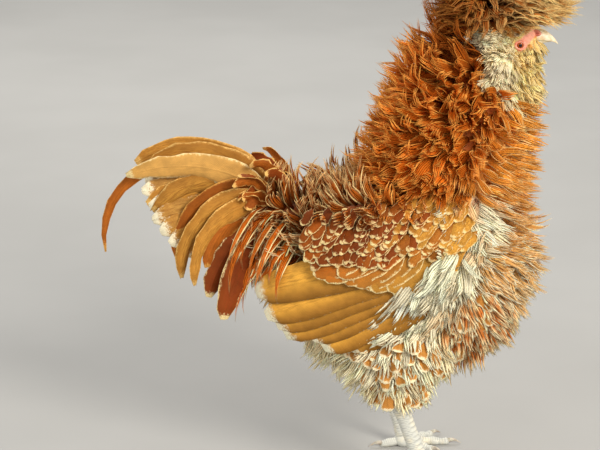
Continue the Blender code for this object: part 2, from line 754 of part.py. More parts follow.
def grow_crest(node, others, rng):
    """Long feathers that fountain outwards from the crown and fall on all sides, their tips curling freely."""
    crown = CREST_CENTRE + Vector((-0.008, 0.0, 0.0))

    def shape(root, normal):
        away = root - crown
        lie = Vector((away.x + 0.010, away.y, -0.016)) + Vector((rng.uniform(-1, 1), rng.uniform(-1, 1), 0)) * 0.008
        low = smooth((CREST_CENTRE.z + 0.020 - root.z) / 0.045)
        length = 0.037 + 0.005 * low + 0.006 * rng.random()
        return lie, length, 0.0195, math.radians(54 - 20 * low), math.radians(2 + 34 * low + 34 * rng.random())

    roots = scattered(node.core, 0.0148, lambda p, n: p.z > CREST_CENTRE.z - 0.024, rng)
    grow(node, others, roots, shape)


def grow_beard(node, others, rng):
    def shape(root, normal):
        lie = Vector((0.3, (root.y - BEARD_CENTRE.y) * 14.0, -1.0))
        return lie, 0.021 + 0.004 * rng.random(), 0.0125, math.radians(26), math.radians(62 + 30 * rng.random())

    roots = scattered(node.core, 0.0112, lambda p, n: n.x > -0.35 and p.z < BEARD_CENTRE.z + 0.015, rng)
    grow(node, others, roots, shape)


def grow_muff(node, others, rng, side):
    def shape(root, normal):
        lie = Vector((-0.45, 0.3 * side, -1.0))
        return lie, 0.018 + 0.004 * rng.random(), 0.0110, math.radians(22), math.radians(40 + 24 * rng.random())

    roots = scattered(node.core, 0.0102, lambda p, n: n.y * side > -0.1 or n.z < -0.5, rng)
    grow(node, others, roots, shape)


def grow_hackle(node, others, rng):
    """The ruff: curled feathers from the nape to the shoulders, longest low down at the back."""
    def shape(root, normal):
        back = smooth(0.5 - normal.x * 0.7)
        high = smooth((root.z - 0.325) / 0.05)
        low = smooth((0.33 - root.z) / 0.08)
        lie = Vector((-0.15, 0.0, -1.0)) + Vector((rng.uniform(-1, 1), rng.uniform(-1, 1), 0.0)) * 0.3
        wide = smooth((abs(root.y) - 0.040) / 0.020)
        length = 0.035 + 0.010 * back + 0.012 * back * high + 0.004 * low + 0.007 * wide + 0.006 * rng.random()
        return lie, length, 0.0200, math.radians(28), math.radians(84 + 40 * rng.random() + 10 * back)

    roots = scattered(node.core, 0.0208, lambda p, n: n.z > -0.6 and p.z > 0.246, rng)
    grow(node, others, roots, shape)


def grow_thigh(node, others, rng, side):
    def shape(root, normal):
        lie = Vector((-0.20, 0.15 * side, -1.0))
        return lie, 0.026 + 0.005 * rng.random(), 0.0210, math.radians(16), math.radians(42 + 26 * rng.random())

    roots = scattered(node.core, 0.0200, lambda p, n: p.z > HOCKS[side].z + 0.002, rng)
    grow(node, others, roots, shape)


def under_wing(point):
    """Whether a point of the torso lies under a folded wing."""
    bottom = max(0.240 - 0.75 * (0.115 - point.x), 0.172)
    return -0.02 < point.x < 0.122 and abs(point.y) > 0.026 and bottom < point.z < 0.272


def grow_torso(node, others, rng):
    """Breast, back, belly and stern in curled feathers, with long narrow ones at the saddle."""
    def saddle(root):
        return root.x < -0.028 and root.z > 0.214

    def shape(root, normal):
        if saddle(root):
            side = 1.0 if root.y > 0 else -1.0
            return (Vector((-0.9, 0.45 * side, -0.5)), 0.085 + 0.018 * rng.random(), 0.0100, math.radians(30),
                    math.radians(-58))
        front = smooth((root.x - 0.06) / 0.08)
        low = smooth((0.16 - root.z) / 0.05)
        lie = Vector((-0.55 + 0.35 * front, 0.0, -0.75 - 0.2 * front)) if root.z < 0.250 else Vector((-1.0, 0.0, 0.0))
        top = smooth((root.z - 0.250) / 0.010) * (1.0 - front)
        wide = smooth((abs(root.y) - 0.040) / 0.020) * smooth((root.x - 0.05) / 0.04)
        length = 0.031 + 0.009 * front + 0.004 * low + 0.016 * top + 0.011 * wide + 0.005 * rng.random()
        start, end = 26 + 8 * front - 8 * low + 26 * top, 80 + 16 * front - 34 * low + 30 * rng.random()
        return lie, length, 0.0215, math.radians(start), math.radians(end)

    def wanted(point, normal):
        return not under_wing(point)

    def spacing(point):
        return 0.0145 if saddle(point) else 0.0218

    roots = scattered(node.core, spacing, wanted, rng, candidates=9000)
    grow(node, others, roots, shape)


def main():
    clear_scene()
    rng = random.Random(SEED)

    torso = Node("torso", "buff_feather", torso_core())
    whole_neck = neck_core()
    neck = Node("neck", "rust_feather", cut_clear(whole_neck, [torso.core]))
    eyes = {side: Node(f"eye_{name}", "eye_orange", eye(side)) for side, name in SIDE_NAMES.items()}
    head = Node("head", "face_skin", head_core([e.core for e in eyes.values()], neck.core))
    beak_upper = Node("beak_upper", "beak_horn", cut_clear(upper_beak(), [head.core]))
    beak_lower = Node("beak_lower", "beak_horn", cut_clear(beak(lower=True), [head.core]))
    crest = Node("crest", "buff_feather", cut_clear(ellipsoid(CREST_CENTRE, CREST_SIZE, 0.1, 16, 8), [head.core]))
    beard = Node("beard", "cream_feather",
                 cut_clear(ellipsoid(BEARD_CENTRE, BEARD_SIZE, 0.0, 12, 7),
                           [head.core, neck.core, beak_lower.core]))
    muffs = {
        side: Node(f"muff_{name}", "cream_feather",
                   cut_clear(ellipsoid(mirrored(MUFF_CENTRE, side), MUFF_SIZE, 0.0, 10, 6),
                             [head.core, neck.core, beard.core, eyes[side].core, crest.core]))
        for side, name in SIDE_NAMES.items()
    }
    rump = tapered(RUMP_FOOT, RUMP_END, RUMP_FOOT_RADIUS, RUMP_END_RADIUS, 5, 12)
    tail = Node("tail", "rust_feather", cut_clear(rump, [torso.core]))
    wings = {
        side: Node(f"wing_{name}", "buff_feather", cut_clear(wing_pad(side), [torso.core, whole_neck]))
        for side, name in SIDE_NAMES.items()
    }
    thighs, shanks, feet, claws = {}, {}, {}, []
    for side, name in SIDE_NAMES.items():
        thighs[side] = Node(f"thigh_{name}", "cream_feather", cut_clear(leg_core(side), [torso.core]))
        shanks[side] = Node(f"shank_{name}", "leg_scale", cut_clear(shank_core(side), [thighs[side].core]))
        feet[side] = Node(f"foot_{name}", "leg_scale", cut_clear(foot_core(side), [shanks[side].core]))
        for number in TOES:
            claws.append(Node(f"claw_{name}_{number}", "claw_horn", claw_solid(number, side)))

    nodes = [torso, neck, head, crest, beard, *muffs.values(), beak_upper, beak_lower, *eyes.values(),
             *wings.values(), tail, *thighs.values(), *shanks.values(), *feet.values(), *claws]
    for node in nodes:
        node.close()

    def others(node):
        return [other for other in nodes if other is not node]

    for side, wing in wings.items():
        for make in wing_feathers(side):
            wing.add(make, others(wing))
        wing.close()
    for make in tail_feathers():
        tail.add(make, others(tail))
    tail.close()
    for side, muff in muffs.items():
        grow_muff(muff, others(muff), rng, side)
        muff.close()
    grow_beard(beard, others(beard), rng)
    beard.close()
    grow_crest(crest, others(crest), rng)
    crest.close()
    for side, thigh in thighs.items():
        grow_thigh(thigh, others(thigh), rng, side)
        thigh.close()
    grow_hackle(neck, others(neck), rng)
    neck.close()
    grow_torso(torso, others(torso), rng)

    for node in nodes:
        node.build()
        if node.pieces:
            print(node.name, "pieces", len(node.pieces))


main()
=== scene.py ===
"""The looks of a crested, bearded cockerel with a curled coat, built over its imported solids.

Metres, +Z up. The bird faces +X and its right side is towards -Y, where the camera stands. One skin replaces
the nodes of flesh. Curled body feathers are joined meshes of narrow tapered strands, rooted on that skin, and
the large feathers of the wings and tail are broad vanes with a shaft, a laced edge and a frayed tip.
"""

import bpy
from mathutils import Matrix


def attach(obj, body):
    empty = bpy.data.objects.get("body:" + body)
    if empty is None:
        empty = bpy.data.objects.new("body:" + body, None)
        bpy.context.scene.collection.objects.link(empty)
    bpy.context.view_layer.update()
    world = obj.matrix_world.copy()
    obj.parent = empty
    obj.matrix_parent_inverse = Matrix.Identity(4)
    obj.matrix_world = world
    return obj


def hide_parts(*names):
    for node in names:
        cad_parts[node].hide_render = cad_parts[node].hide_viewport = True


bl_info = {
    "name": "Curled Crested Cockerel",
    "version": (1, 0, 0),
    "blender": (4, 5, 0),
    "location": "View3D > Sidebar > Cockerel",
    "description": "Builds the skin, the coat, the feathers and the stage of a curled crested cockerel",
    "category": "Add Mesh",
}

import math

import bpy
import numpy as np
from bpy.props import FloatProperty, FloatVectorProperty, IntProperty, PointerProperty
from mathutils import Vector

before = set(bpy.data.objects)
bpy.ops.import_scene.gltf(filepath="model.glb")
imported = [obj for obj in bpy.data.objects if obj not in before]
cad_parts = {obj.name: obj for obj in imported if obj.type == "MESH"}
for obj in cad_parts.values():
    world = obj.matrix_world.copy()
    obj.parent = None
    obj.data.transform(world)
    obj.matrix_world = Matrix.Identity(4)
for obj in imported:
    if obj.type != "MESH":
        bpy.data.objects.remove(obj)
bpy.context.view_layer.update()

BODY = "root"
SEED = 11
RIGHT, LEFT = -1.0, 1.0
SIDES = {"right": RIGHT, "left": LEFT}

# Feathers
MOST_STRANDS = 5200  # in one coat piece
STRAND_ROWS = 6
STRAND_CAMBER = 0.14
UNEVEN = 0.07  # of a strand's reach
FINE_STEPS = 12  # along a curled centre line
PATCH_SIZE = 0.0026  # of a strand on the map for baking
BARB_SPACING = 0.0019
SHAFT_HEIGHT = 0.0003
LOOK_AHEAD = 0.002  # over the flank's sheet, to find its slope
GOLDEN_ANGLE = 2.399963  # in radians, round the crest from one feather to the next

# Finishes
LACE_EDGE = 0.38  # where a vane's lace ends, as a share of its half width
TIP_RATE = 20.0  # keeps the rate at which a tip's lace ends small enough for a colour's alpha
SKIN_GLOW = (1.0, 0.35, 0.2)  # how far red, green and blue light goes into skin, against each other

# Skin: the forms that are fused into it
TRUNK_MID = 0.0497
TRUNK_HALF_LENGTH = 0.1235
TRUNK_HALF_DEPTH = 0.0805
TRUNK_HALF_WIDTH = 0.0645
TRUNK_HEIGHT = 0.196
TRUNK_FULLER_IN_FRONT = 0.30
TRUNK_RISE = 0.002
TRUNK_BOW = 0.018
NECK_FOOT = (0.0967, 0.215)
NECK_TOP = (0.1407, 0.409)
NECK_FOOT_RADIUS = 0.0605
NECK_TOP_RADIUS = 0.0235
SKULL = ((0.1527, 0.0, 0.421), (0.0285, 0.0180, 0.0210))
FACE = ((0.1655, 0.0, 0.4175), (0.0122, 0.0112, 0.0112))
CROWN = ((0.1497, 0.0, 0.4400), (0.0175, 0.0165, 0.0150))
KNEE = (0.0607, 0.040, 0.145)
HOCK = {RIGHT: (0.0562, 0.050, 0.0865), LEFT: (0.0432, 0.049, 0.0865)}
ANKLE = {RIGHT: (0.0827, 0.052, 0.0125), LEFT: (0.0667, 0.049, 0.0125)}
THIGH_START = -0.62  # inside the flank, as a share of the way from knee to hock
KNEE_RADIUS = 0.0430
HOCK_RADIUS = 0.0112
RUMP_FOOT = (-0.0173, 0.232)
RUMP_END = (-0.0713, 0.264)
RUMP_FOOT_RADIUS = 0.0270
RUMP_END_RADIUS = 0.0115
TAIL_ROOT = np.array([-0.0613, 0.0, 0.264])

# Forms under the wing as x, height and how far out from the flank's sheet, then half sizes
ARM = ((0.062, 0.228, -0.008), (0.058, 0.009, 0.030))
SHOULDER = ((0.050, 0.260, -0.013), (0.056, 0.008, 0.018))
WING_TILT = 0.12

# Head details
CHEEK = ((0.1655, 0.0078, 0.4100), (0.0085, 0.0052, 0.0060))
BROW = ((0.1630, 0.0128, 0.4228), (0.0082, 0.0040, 0.0028))
BROW_TILT = -0.25
EYE_CENTRE = np.array([0.1632, 0.0146, 0.4175])
BEAK_ROOT_X = 0.1687
BEAK_TIP_X = 0.1999
MOUTH_HEIGHT = 0.4190
BEAK_ROOT_HEIGHT = 0.0112
LOWER_ROOT_HEIGHT = 0.0055
BEAK_HOOK = 0.0044
BEAK_HALF_WIDTH = 0.0078
NOSTRIL_CENTRE = np.array([0.1779, 0.0047, 0.4262])
CREST_CENTRE = np.array([0.1497, 0.0, 0.4520])
BEARD = ((0.1657, 0.0, 0.386), (0.0150, 0.0195, 0.0185))
MUFF = ((0.1457, 0.0262, 0.4010), (0.0125, 0.0085, 0.0130))

# Wings: the sheet that the folded feathers lie on
SHEET_HALF_WIDTH = 0.0775
SHEET_MID_X = 0.0627
SHEET_FALL = 1.5
SHEET_HEIGHT = 0.205
SHEET_TOP = 0.098
SHEET_BOTTOM = 0.150

# Camera, with the lens in millimetres, and the place that the lights point at
LENS = 128.4
SENSOR = 36.0
CAMERA_TARGET = (-0.0356, 0.0, 0.2426)
CAMERA_PITCH = math.radians(17.0)
CAMERA_DISTANCE = 2.0
LIGHT_AIM = (0.02, 0.0, 0.24)


def srgb(red, green, blue):
    """A colour given in 0 to 255 as a picture shows it, in linear light."""
    made = []
    for value in (red, green, blue):
        value /= 255.0
        made.append(value / 12.92 if value <= 0.04045 else ((value + 0.055) / 1.055) ** 2.4)
    return tuple(made)


def colour_property(name, description, default):
    return FloatVectorProperty(name=name, description=description, default=default, size=3, min=0.0, max=1.0,
                               subtype="COLOR")


def length_property(name, description, default):
    return FloatProperty(name=name, description=description, default=default, min=0.0, unit="LENGTH",
                         precision=4)


class CockerelSizes(bpy.types.PropertyGroup):
    voxel: length_property("Skin voxel", "Mesh size that the skin is fused at", 0.0021)
    hackle_length: length_property("Hackle length", "Length of the curled neck feathers", 0.040)
    breast_length: length_property("Breast length", "Length of the curled breast feathers", 0.038)
    back_length: length_property("Back length", "Length of the curled back feathers", 0.050)
    belly_length: length_property("Belly length", "Length of the soft belly and thigh feathers", 0.031)
    saddle_length: length_property("Saddle length", "Length of the narrow saddle feathers", 0.092)
    crest_length: length_property("Crest length", "Length of the curly crest feathers", 0.062)
    beard_length: length_property("Beard length", "Length of the beard feathers", 0.021)
    eye_radius: length_property("Eye radius", "Radius of the eyeball", 0.0043)
    spacing: length_property("Feather spacing", "Distance between the roots of body feathers", 0.0056)
    seed: IntProperty(name="Seed", description="Start of every random draw", default=SEED, min=0)


class CockerelColours(bpy.types.PropertyGroup):
    rust: colour_property("Rust", "Neck and back feathers", srgb(214, 110, 26))
    rust_dark: colour_property("Dark rust", "Roots and shaded feathers of neck and back", srgb(112, 50, 8))
    rust_light: colour_property("Light rust", "Lit tips of the neck feathers", srgb(250, 176, 82))
    buff: colour_property("Buff", "Breast and wing feathers", srgb(238, 168, 78))
    gold: colour_property("Gold", "Flight feathers", srgb(220, 160, 62))
    cream: colour_property("Cream", "Laced edges, beard, belly and thighs", srgb(252, 226, 164))
    white: colour_property("White", "Down and the palest tips", srgb(255, 243, 208))
    spot: colour_property("Spot", "Oval spots of the belly and thighs", srgb(206, 142, 66))
    face: colour_property("Face", "Bare skin of the face", srgb(255, 176, 148))
    horn: colour_property("Horn", "Beak and claws", srgb(236, 224, 196))
    shank: colour_property("Shank", "Scales of the legs", srgb(222, 222, 210))
    iris: colour_property("Iris", "Ring of the eye", srgb(196, 96, 30))


def sizes():
    return bpy.context.scene.cockerel_sizes


def colours():
    return bpy.context.scene.cockerel_colours


def palette(*names):
    """The user's colours of those names, as arrays."""
    return [np.array(getattr(colours(), name)) for name in names]


def draws(number):
    """Random draws of one piece's own."""
    return np.random.default_rng(sizes().seed * 100 + number)


# Small helpers for numbers and vectors in rows

def smooth(t):
    t = np.clip(t, 0.0, 1.0)
    return t * t * (3.0 - 2.0 * t)


def past(values, limit, span):
    """0 up to the limit and 1 from a span beyond it, with a soft step between."""
    return smooth((values - limit) / span)


def short_of(values, limit, span):
    """1 up to a span before the limit and 0 from the limit on, with a soft step between."""
    return smooth((limit - values) / span)


def unit(rows):
    return rows / np.maximum(np.linalg.norm(rows, axis=-1, keepdims=True), 1e-12)


def mixed(a, b, share):
    """Colours a and b mixed row by row."""
    share = np.asarray(share)[..., None]
    return np.asarray(a) * (1.0 - share) + np.asarray(b) * share


def vectors(x, y, z):
    """Rows of vectors from three columns, any of which may be one number for all."""
    return np.stack(np.broadcast_arrays(x, y, z), axis=-1)


def between(pair, share):
    return pair[0] + (pair[1] - pair[0]) * share


# Small helpers for objects

def deselect():
    bpy.ops.object.select_all(action="DESELECT")


def make_active(obj):
    deselect()
    obj.select_set(True)
    bpy.context.view_layer.objects.active = obj


def joined(objects, name):
    deselect()
    for obj in objects:
        obj.select_set(True)
    bpy.context.view_layer.objects.active = objects[0]
    bpy.ops.object.join()
    made = bpy.context.view_layer.objects.active
    made.name = made.data.name = name
    return made


def apply_modifiers(obj):
    make_active(obj)
    for modifier in list(obj.modifiers):
        bpy.ops.object.modifier_apply(modifier=modifier.name)


def settled(obj):
    """Puts the object's place into its mesh."""
    make_active(obj)
    bpy.ops.object.transform_apply(location=True, rotation=True, scale=True)


def faced_outward(obj):
    make_active(obj)
    bpy.ops.object.mode_set(mode="EDIT")
    bpy.ops.mesh.select_all(action="SELECT")
    bpy.ops.mesh.normals_make_consistent(inside=False)
    bpy.ops.object.mode_set(mode="OBJECT")
    return obj


def finished(obj, material, nodes=()):
    """Gives the object its finish and lets it ride on the body, in the place of the nodes."""
    settled(obj)
    bpy.ops.object.shade_smooth()
    obj.data.materials.clear()
    obj.data.materials.append(material)
    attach(obj, BODY)
    if nodes:
        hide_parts(*nodes)
    deselect()


def mesh_object(name, points, triangles, quads=None):
    """An object of triangles, and of quads where given, from rows of points and of indices."""
    quads = np.zeros((0, 4), np.int32) if quads is None else np.asarray(quads, np.int32)
    triangles = np.asarray(triangles, np.int32).reshape(-1, 3)
    mesh = bpy.data.meshes.new(name)
    mesh.vertices.add(len(points))
    mesh.vertices.foreach_set("co", np.asarray(points, np.float32).ravel())
    corners = np.concatenate([triangles.ravel(), quads.ravel()])
    starts = np.concatenate([np.arange(len(triangles)) * 3, len(triangles) * 3 + np.arange(len(quads)) * 4])
    mesh.loops.add(len(corners))
    mesh.loops.foreach_set("vertex_index", corners.astype(np.int32))
    mesh.polygons.add(len(starts))
    mesh.polygons.foreach_set("loop_start", starts.astype(np.int32))
    mesh.update(calc_edges=True)
    mesh.validate()
    made = bpy.data.objects.new(name, mesh)
    bpy.context.scene.collection.objects.link(made)
    return made


def tube_faces(rings, around):
    """Triangles and quads of a closed tube, whose points are its rings, then the middles of its two ends."""
    quads, triangles = [], []
    for i in range(rings - 1):
        for j in range(around):
            a, b = i * around + j, i * around + (j + 1) % around
            quads.append((a, b, b + around, a + around))
    last = (rings - 1) * around
    for j in range(around):
        k = (j + 1) % around
        triangles.append((k, j, rings * around))
        triangles.append((last + j, last + k, rings * around + 1))
    return triangles, quads


def points_of(obj):
    points = np.empty(len(obj.data.vertices) * 3, np.float32)
    obj.data.vertices.foreach_get("co", points)
    return points.reshape(-1, 3).astype(float)


def set_point_value(obj, name, values):
    attribute = obj.data.attributes.new(name, "FLOAT", "POINT")
    attribute.data.foreach_set("value", np.asarray(values, np.float32))


def set_point_colour(obj, name, rows, alpha=1.0):
    attribute = obj.data.color_attributes.new(name, "FLOAT_COLOR", "POINT")
    full = np.ones((len(rows), 4), np.float32)
    full[:, :3] = rows
    full[:, 3] = alpha
    attribute.data.foreach_set("color", full.ravel())


def set_uv(obj, name, rows):
    """A UV map from one place for each point."""
    corners = np.empty(len(obj.data.loops), np.int32)
    obj.data.loops.foreach_get("vertex_index", corners)
    layer = obj.data.uv_layers.new(name=name)
    layer.data.foreach_set("uv", np.asarray(rows, np.float32)[corners].ravel())


# Materials

class Net:
    """A material's nodes, made by short calls that give back the socket they end in."""

    def __init__(self, name, roughness, **values):
        self.material = bpy.data.materials.new(name)
        self.material.use_nodes = True
        self.nodes = self.material.node_tree.nodes
        self.links = self.material.node_tree.links
        self.shader = self.nodes["Principled BSDF"]
        self.shader.inputs["Roughness"].default_value = roughness
        for socket, value in values.items():
            self.shader.inputs[socket.replace("_", " ")].default_value = value

    def node(self, kind, inputs=None, output=0, **settings):
        made = self.nodes.new(kind)
        for key, value in settings.items():
            setattr(made, key, value)
        for key, value in (inputs or {}).items():
            if isinstance(value, bpy.types.NodeSocket):
                self.links.new(value, made.inputs[key])
            elif value is not None:
                made.inputs[key].default_value = value
        return made.outputs[output]

    def math(self, operation, a, b=None, c=None):
        return self.node("ShaderNodeMath", {0: a, 1: b, 2: c}, operation=operation)

    def place(self):
        return self.node("ShaderNodeTexCoord", output="Object")

    def parts(self, vector):
        """The vector's three parts."""
        made = self.nodes.new("ShaderNodeSeparateXYZ")
        self.links.new(vector, made.inputs[0])
        return tuple(made.outputs)

    def attribute(self, name, output="Color"):
        return self.node("ShaderNodeAttribute", output=output, attribute_name=name)

    def noise(self, scale, detail=3.0, vector=None, roughness=0.55):
        vector = vector or self.place()
        inputs = {"Vector": vector, "Scale": scale, "Detail": detail, "Roughness": roughness}
        return self.node("ShaderNodeTexNoise", inputs, output="Fac")

    def grain(self, scale):
        """Fine round pimples."""
        return self.node("ShaderNodeTexVoronoi", {"Vector": self.place(), "Scale": scale}, output="Distance",
                         feature="SMOOTH_F1")

    def ramp(self, value, low, high, out_low=0.0, out_high=1.0):
        return self.node("ShaderNodeMapRange", {0: value, 1: low, 2: high, 3: out_low, 4: out_high},
                         interpolation_type="SMOOTHSTEP")

    def mix(self, share, a, b, blend="MIX"):
        return self.node("ShaderNodeMix", {0: share, 6: self.colour(a), 7: self.colour(b)}, output=2,
                         data_type="RGBA", blend_type=blend)

    @staticmethod
    def colour(value):
        return value if isinstance(value, bpy.types.NodeSocket) else (*value, 1.0)

    def grey(self, value):
        return self.node("ShaderNodeCombineColor", {0: value, 1: value, 2: value})

    def base(self, colour, shade=None):
        """The finish's colour, times the shade where there is one."""
        if shade is not None:
            colour = self.mix(1.0, colour, self.grey(shade), "MULTIPLY")
        self.links.new(colour, self.shader.inputs["Base Color"])

    def bump(self, height, strength, distance):
        normal = self.node("ShaderNodeBump", {"Strength": strength, "Distance": distance, "Height": height})
        self.links.new(normal, self.shader.inputs["Normal"])


def coat_material():
    """Body feathers: their own colours, streaked along their length and mottled from feather to feather."""
    net = Net("curled_feathers", 0.65, Specular_IOR_Level=0.1)
    streak = net.ramp(net.noise(1500.0, 2.0), 0.25, 0.75, 0.84, 1.14)
    patch = net.ramp(net.noise(80.0, 2.0), 0.25, 0.75, 0.84, 1.12)
    net.base(net.attribute("Feather"), net.math("MULTIPLY", streak, patch))
    net.bump(net.noise(1700.0, 2.0), 0.4, 0.0006)
    return net.material


def vane_material():
    """Broad feathers: streaks, slanting barbs, a laced edge and a pale frayed tip, by their own map. The
    under colour also paints shade where the feathers overlap: a band inside the lace, the part towards the
    root and one web.
    """
    net = Net("broad_feathers", 0.60, Specular_IOR_Level=0.12)
    across, along, _ = net.parts(net.node("ShaderNodeUVMap", uv_map="Vane"))
    own_colour = net.attribute("Feather")
    under = net.attribute("Under")
    off_shaft = net.math("ABSOLUTE", net.math("MULTIPLY_ADD", across, 2.0, -1.0))
    wander = net.ramp(net.noise(300.0, 4.0), 0.2, 0.8, -0.09, 0.09)
    fine = net.ramp(net.noise(1000.0, 3.0), 0.25, 0.75, -0.09, 0.09)
    tip_scale = net.math("MULTIPLY", net.attribute("Under", "Alpha"), TIP_RATE)
    from_side = net.math("MULTIPLY_ADD", net.math("SUBTRACT", 1.0, net.attribute("Lace", "Alpha")), 0.42,
                         net.math("SUBTRACT", 1.0, off_shaft))
    from_tip = net.math("MULTIPLY", net.math("SUBTRACT", 1.0, along), tip_scale)
    from_edge = net.math("ADD", net.math("MINIMUM", from_side, from_tip), net.math("ADD", wander, fine))
    lacing = net.ramp(from_edge, LACE_EDGE, 0.14)
    # Painted shade: a dark band just inside the lace, where the next feather's edge overlaps
    rim = net.ramp(net.math("ABSOLUTE", net.math("SUBTRACT", from_edge, 0.54)), 0.26, 0.0, 0.0, 0.38)
    # Painted shade towards the root, where the feathers over it cover it
    root = net.ramp(along, 0.55, 0.05, 0.0, 0.60)
    # Painted shade on one web, where the next feather overlaps it, as strong as the Feather colour's alpha
    inner = net.math("MULTIPLY", net.ramp(across, 0.40, 0.90), net.attribute("Feather", "Alpha"))
    slant = net.math("MULTIPLY_ADD", off_shaft, -0.30, along)
    own_number = net.math("MULTIPLY", net.attribute("Feather", "Fac"), 90.0)
    spread = net.node("ShaderNodeCombineXYZ", {0: net.math("MULTIPLY", across, 14.0),
                                               1: net.math("MULTIPLY", slant, 10.0), 2: own_number})
    streaks = net.ramp(net.noise(1.4, 5.0, spread, roughness=0.65), 0.40, 0.64)
    # The under colour's share: painted shade from the band, the root and the one web, then the feather's real
    # streaks
    shaded = net.math("MAXIMUM", net.math("MAXIMUM", rim, root), inner)
    shaded = net.math("MAXIMUM", shaded, net.math("MULTIPLY", streaks, 0.55))
    own = net.mix(shaded, own_colour, under)
    phase = net.math("MULTIPLY_ADD", net.noise(500.0, 2.0), 5.0, net.attribute("Barb", "Fac"))
    barbs = net.math("SINE", phase)
    clouds = net.ramp(net.noise(110.0, 3.0), 0.25, 0.75, 0.86, 1.12)
    shade = net.math("MULTIPLY", net.ramp(barbs, -1.0, 1.0, 0.88, 1.06), clouds)
    net.base(net.mix(lacing, own, net.attribute("Lace")), shade)
    shaft = net.math("MULTIPLY", net.ramp(off_shaft, 0.08, 0.02), 1.6)
    height = net.math("ADD", net.math("MULTIPLY", barbs, 0.4), shaft)
    net.bump(net.math("ADD", height, net.noise(1200.0, 3.0)), 0.40, 0.0005)
    return net.material


def skin_material():
    """The skin under the coat in the coat's own markings, and the bare face with its fine grain."""
    net = Net("cockerel_skin", 0.55, Subsurface_Weight=0.10, Subsurface_Scale=0.004,
              Subsurface_Radius=SKIN_GLOW, Specular_IOR_Level=0.35)
    net.base(net.attribute("Feather"), net.ramp(net.noise(420.0, 4.0), 0.25, 0.75, 0.82, 1.14))
    net.bump(net.math("ADD", net.grain(900.0), net.noise(600.0)), 0.6, 0.0006)
    return net.material


def plain_skin_material(name, colour, darker, roughness):
    """Bare skin of one part, mottled between two colours, with fine pimples."""
    net = Net(name, roughness, Subsurface_Weight=0.12, Subsurface_Scale=0.003, Subsurface_Radius=SKIN_GLOW,
              Specular_IOR_Level=0.4)
    net.base(net.mix(net.ramp(net.noise(330.0, 4.0), 0.35, 0.65), colour, darker))
    net.bump(net.grain(1400.0), 0.55, 0.0005)
    return net.material


def horn_material(name, colour, tip):
    """Horn with growth lines, yellower and darker in patches."""
    net = Net(name, 0.34, Coat_Weight=0.15, Coat_Roughness=0.3, Subsurface_Weight=0.08,
              Subsurface_Scale=0.003)
    patches = net.ramp(net.noise(240.0, 3.0), 0.35, 0.75)
    net.base(net.mix(patches, colour, tip))
    net.bump(net.noise(900.0, 2.0), 0.25, 0.0004)
    return net.material


def eye_material():
    """A dark pupil in an orange iris with fine spokes, by the distance from the eye's own axis."""
    net = Net("cockerel_eye", 0.15, Coat_Weight=0.3, Coat_Roughness=0.05, Specular_IOR_Level=0.3)
    middle = (EYE_CENTRE[0] + 0.0002, 0.0, EYE_CENTRE[2])
    away = net.node("ShaderNodeVectorMath", {0: net.place(), 1: middle}, operation="SUBTRACT")
    ahead, _, up = net.parts(away)
    squared = net.math("ADD", net.math("MULTIPLY", ahead, ahead), net.math("MULTIPLY", up, up))
    off_axis = net.math("SQRT", squared)
    iris = net.mix(net.ramp(net.noise(2600.0, 2.0), 0.3, 0.7), tuple(colours().iris), srgb(120, 44, 14))
    iris = net.mix(net.ramp(off_axis, 0.0030, 0.0037), iris, srgb(110, 40, 22))
    net.base(net.mix(net.ramp(off_axis, 0.00140, 0.00185), srgb(34, 12, 8), iris))
    return net.material


def scale_material():
    """Leg scales: pale grey plates, a little darker in the grooves between them."""
    net = Net("leg_scales", 0.42, Specular_IOR_Level=0.4)
    groove = net.attribute("Groove", "Fac")
    plate = net.mix(net.ramp(net.noise(300.0, 3.0), 0.3, 0.7), tuple(colours().shank), srgb(212, 212, 204))
    plate = net.mix(net.ramp(net.noise(90.0, 2.0), 0.45, 0.7), plate, srgb(240, 232, 208))
    net.base(net.mix(net.math("MULTIPLY", groove, 0.7), plate, srgb(146, 146, 140)))
    net.bump(net.noise(1300.0, 3.0), 0.3, 0.0004)
    return net.material


def floor_material():
    """A plain, pale, matt studio floor with the faintest unevenness."""
    net = Net("studio_floor", 0.9, Specular_IOR_Level=0.1)
    net.base(net.mix(net.ramp(net.noise(3.0, 3.0), 0.3, 0.7), srgb(178, 177, 174), srgb(173, 172, 169)))
    return net.material


# Shapes of the body

def trunk_rings(count=13):
    rings = []
    for i in range(count):
        u = -math.cos(math.pi * (i + 0.6) / (count + 0.2))
        full = math.sqrt(1.0 - u * u) * (1.0 + TRUNK_FULLER_IN_FRONT * u)
        height = TRUNK_HEIGHT + TRUNK_RISE * u + TRUNK_BOW * u * u
        centre = (TRUNK_MID + TRUNK_HALF_LENGTH * u, 0.0, height)
        rings.append((centre, TRUNK_HALF_WIDTH * full, TRUNK_HALF_DEPTH * full))
    return rings


def neck_rings(count=9):
    rings = []
    for i in range(count):
        t = i / (count - 1)
        radius = between((NECK_FOOT_RADIUS, NECK_TOP_RADIUS), t ** 4.0)
        x, z = between((NECK_FOOT[0], NECK_TOP[0]), t ** 3.0), between((NECK_FOOT[1], NECK_TOP[1]), t)
        rings.append(((x, 0.0, z), radius, radius * 0.94))
    return rings


def thigh_rings(side, count=9):
    """Rings from inside the flank, round the knee and down to the hock."""
    rings = []
    for i in range(count):
        t = between((THIGH_START, 1.0), i / (count - 1))
        if t < 0.0:
            radius = KNEE_RADIUS * math.sqrt(1.0 - (t / 0.66) ** 2)
        else:
            radius = between((KNEE_RADIUS, HOCK_RADIUS), float(smooth(t)))
        x, y, z = (knee * (1.0 - t) + hock * t for knee, hock in zip(KNEE, HOCK[side]))
        rings.append(((x, y * side, z), radius, radius * 0.80))
    return rings


def rump_rings(count=5):
    rings = []
    for i in range(count):
        t = i / (count - 1)
        radius = between((RUMP_FOOT_RADIUS, RUMP_END_RADIUS), float(smooth(t)))
        x, z = (between(pair, t) for pair in zip(RUMP_FOOT, RUMP_END))
        rings.append(((x, 0.0, z), radius * 0.9, radius))
    return rings


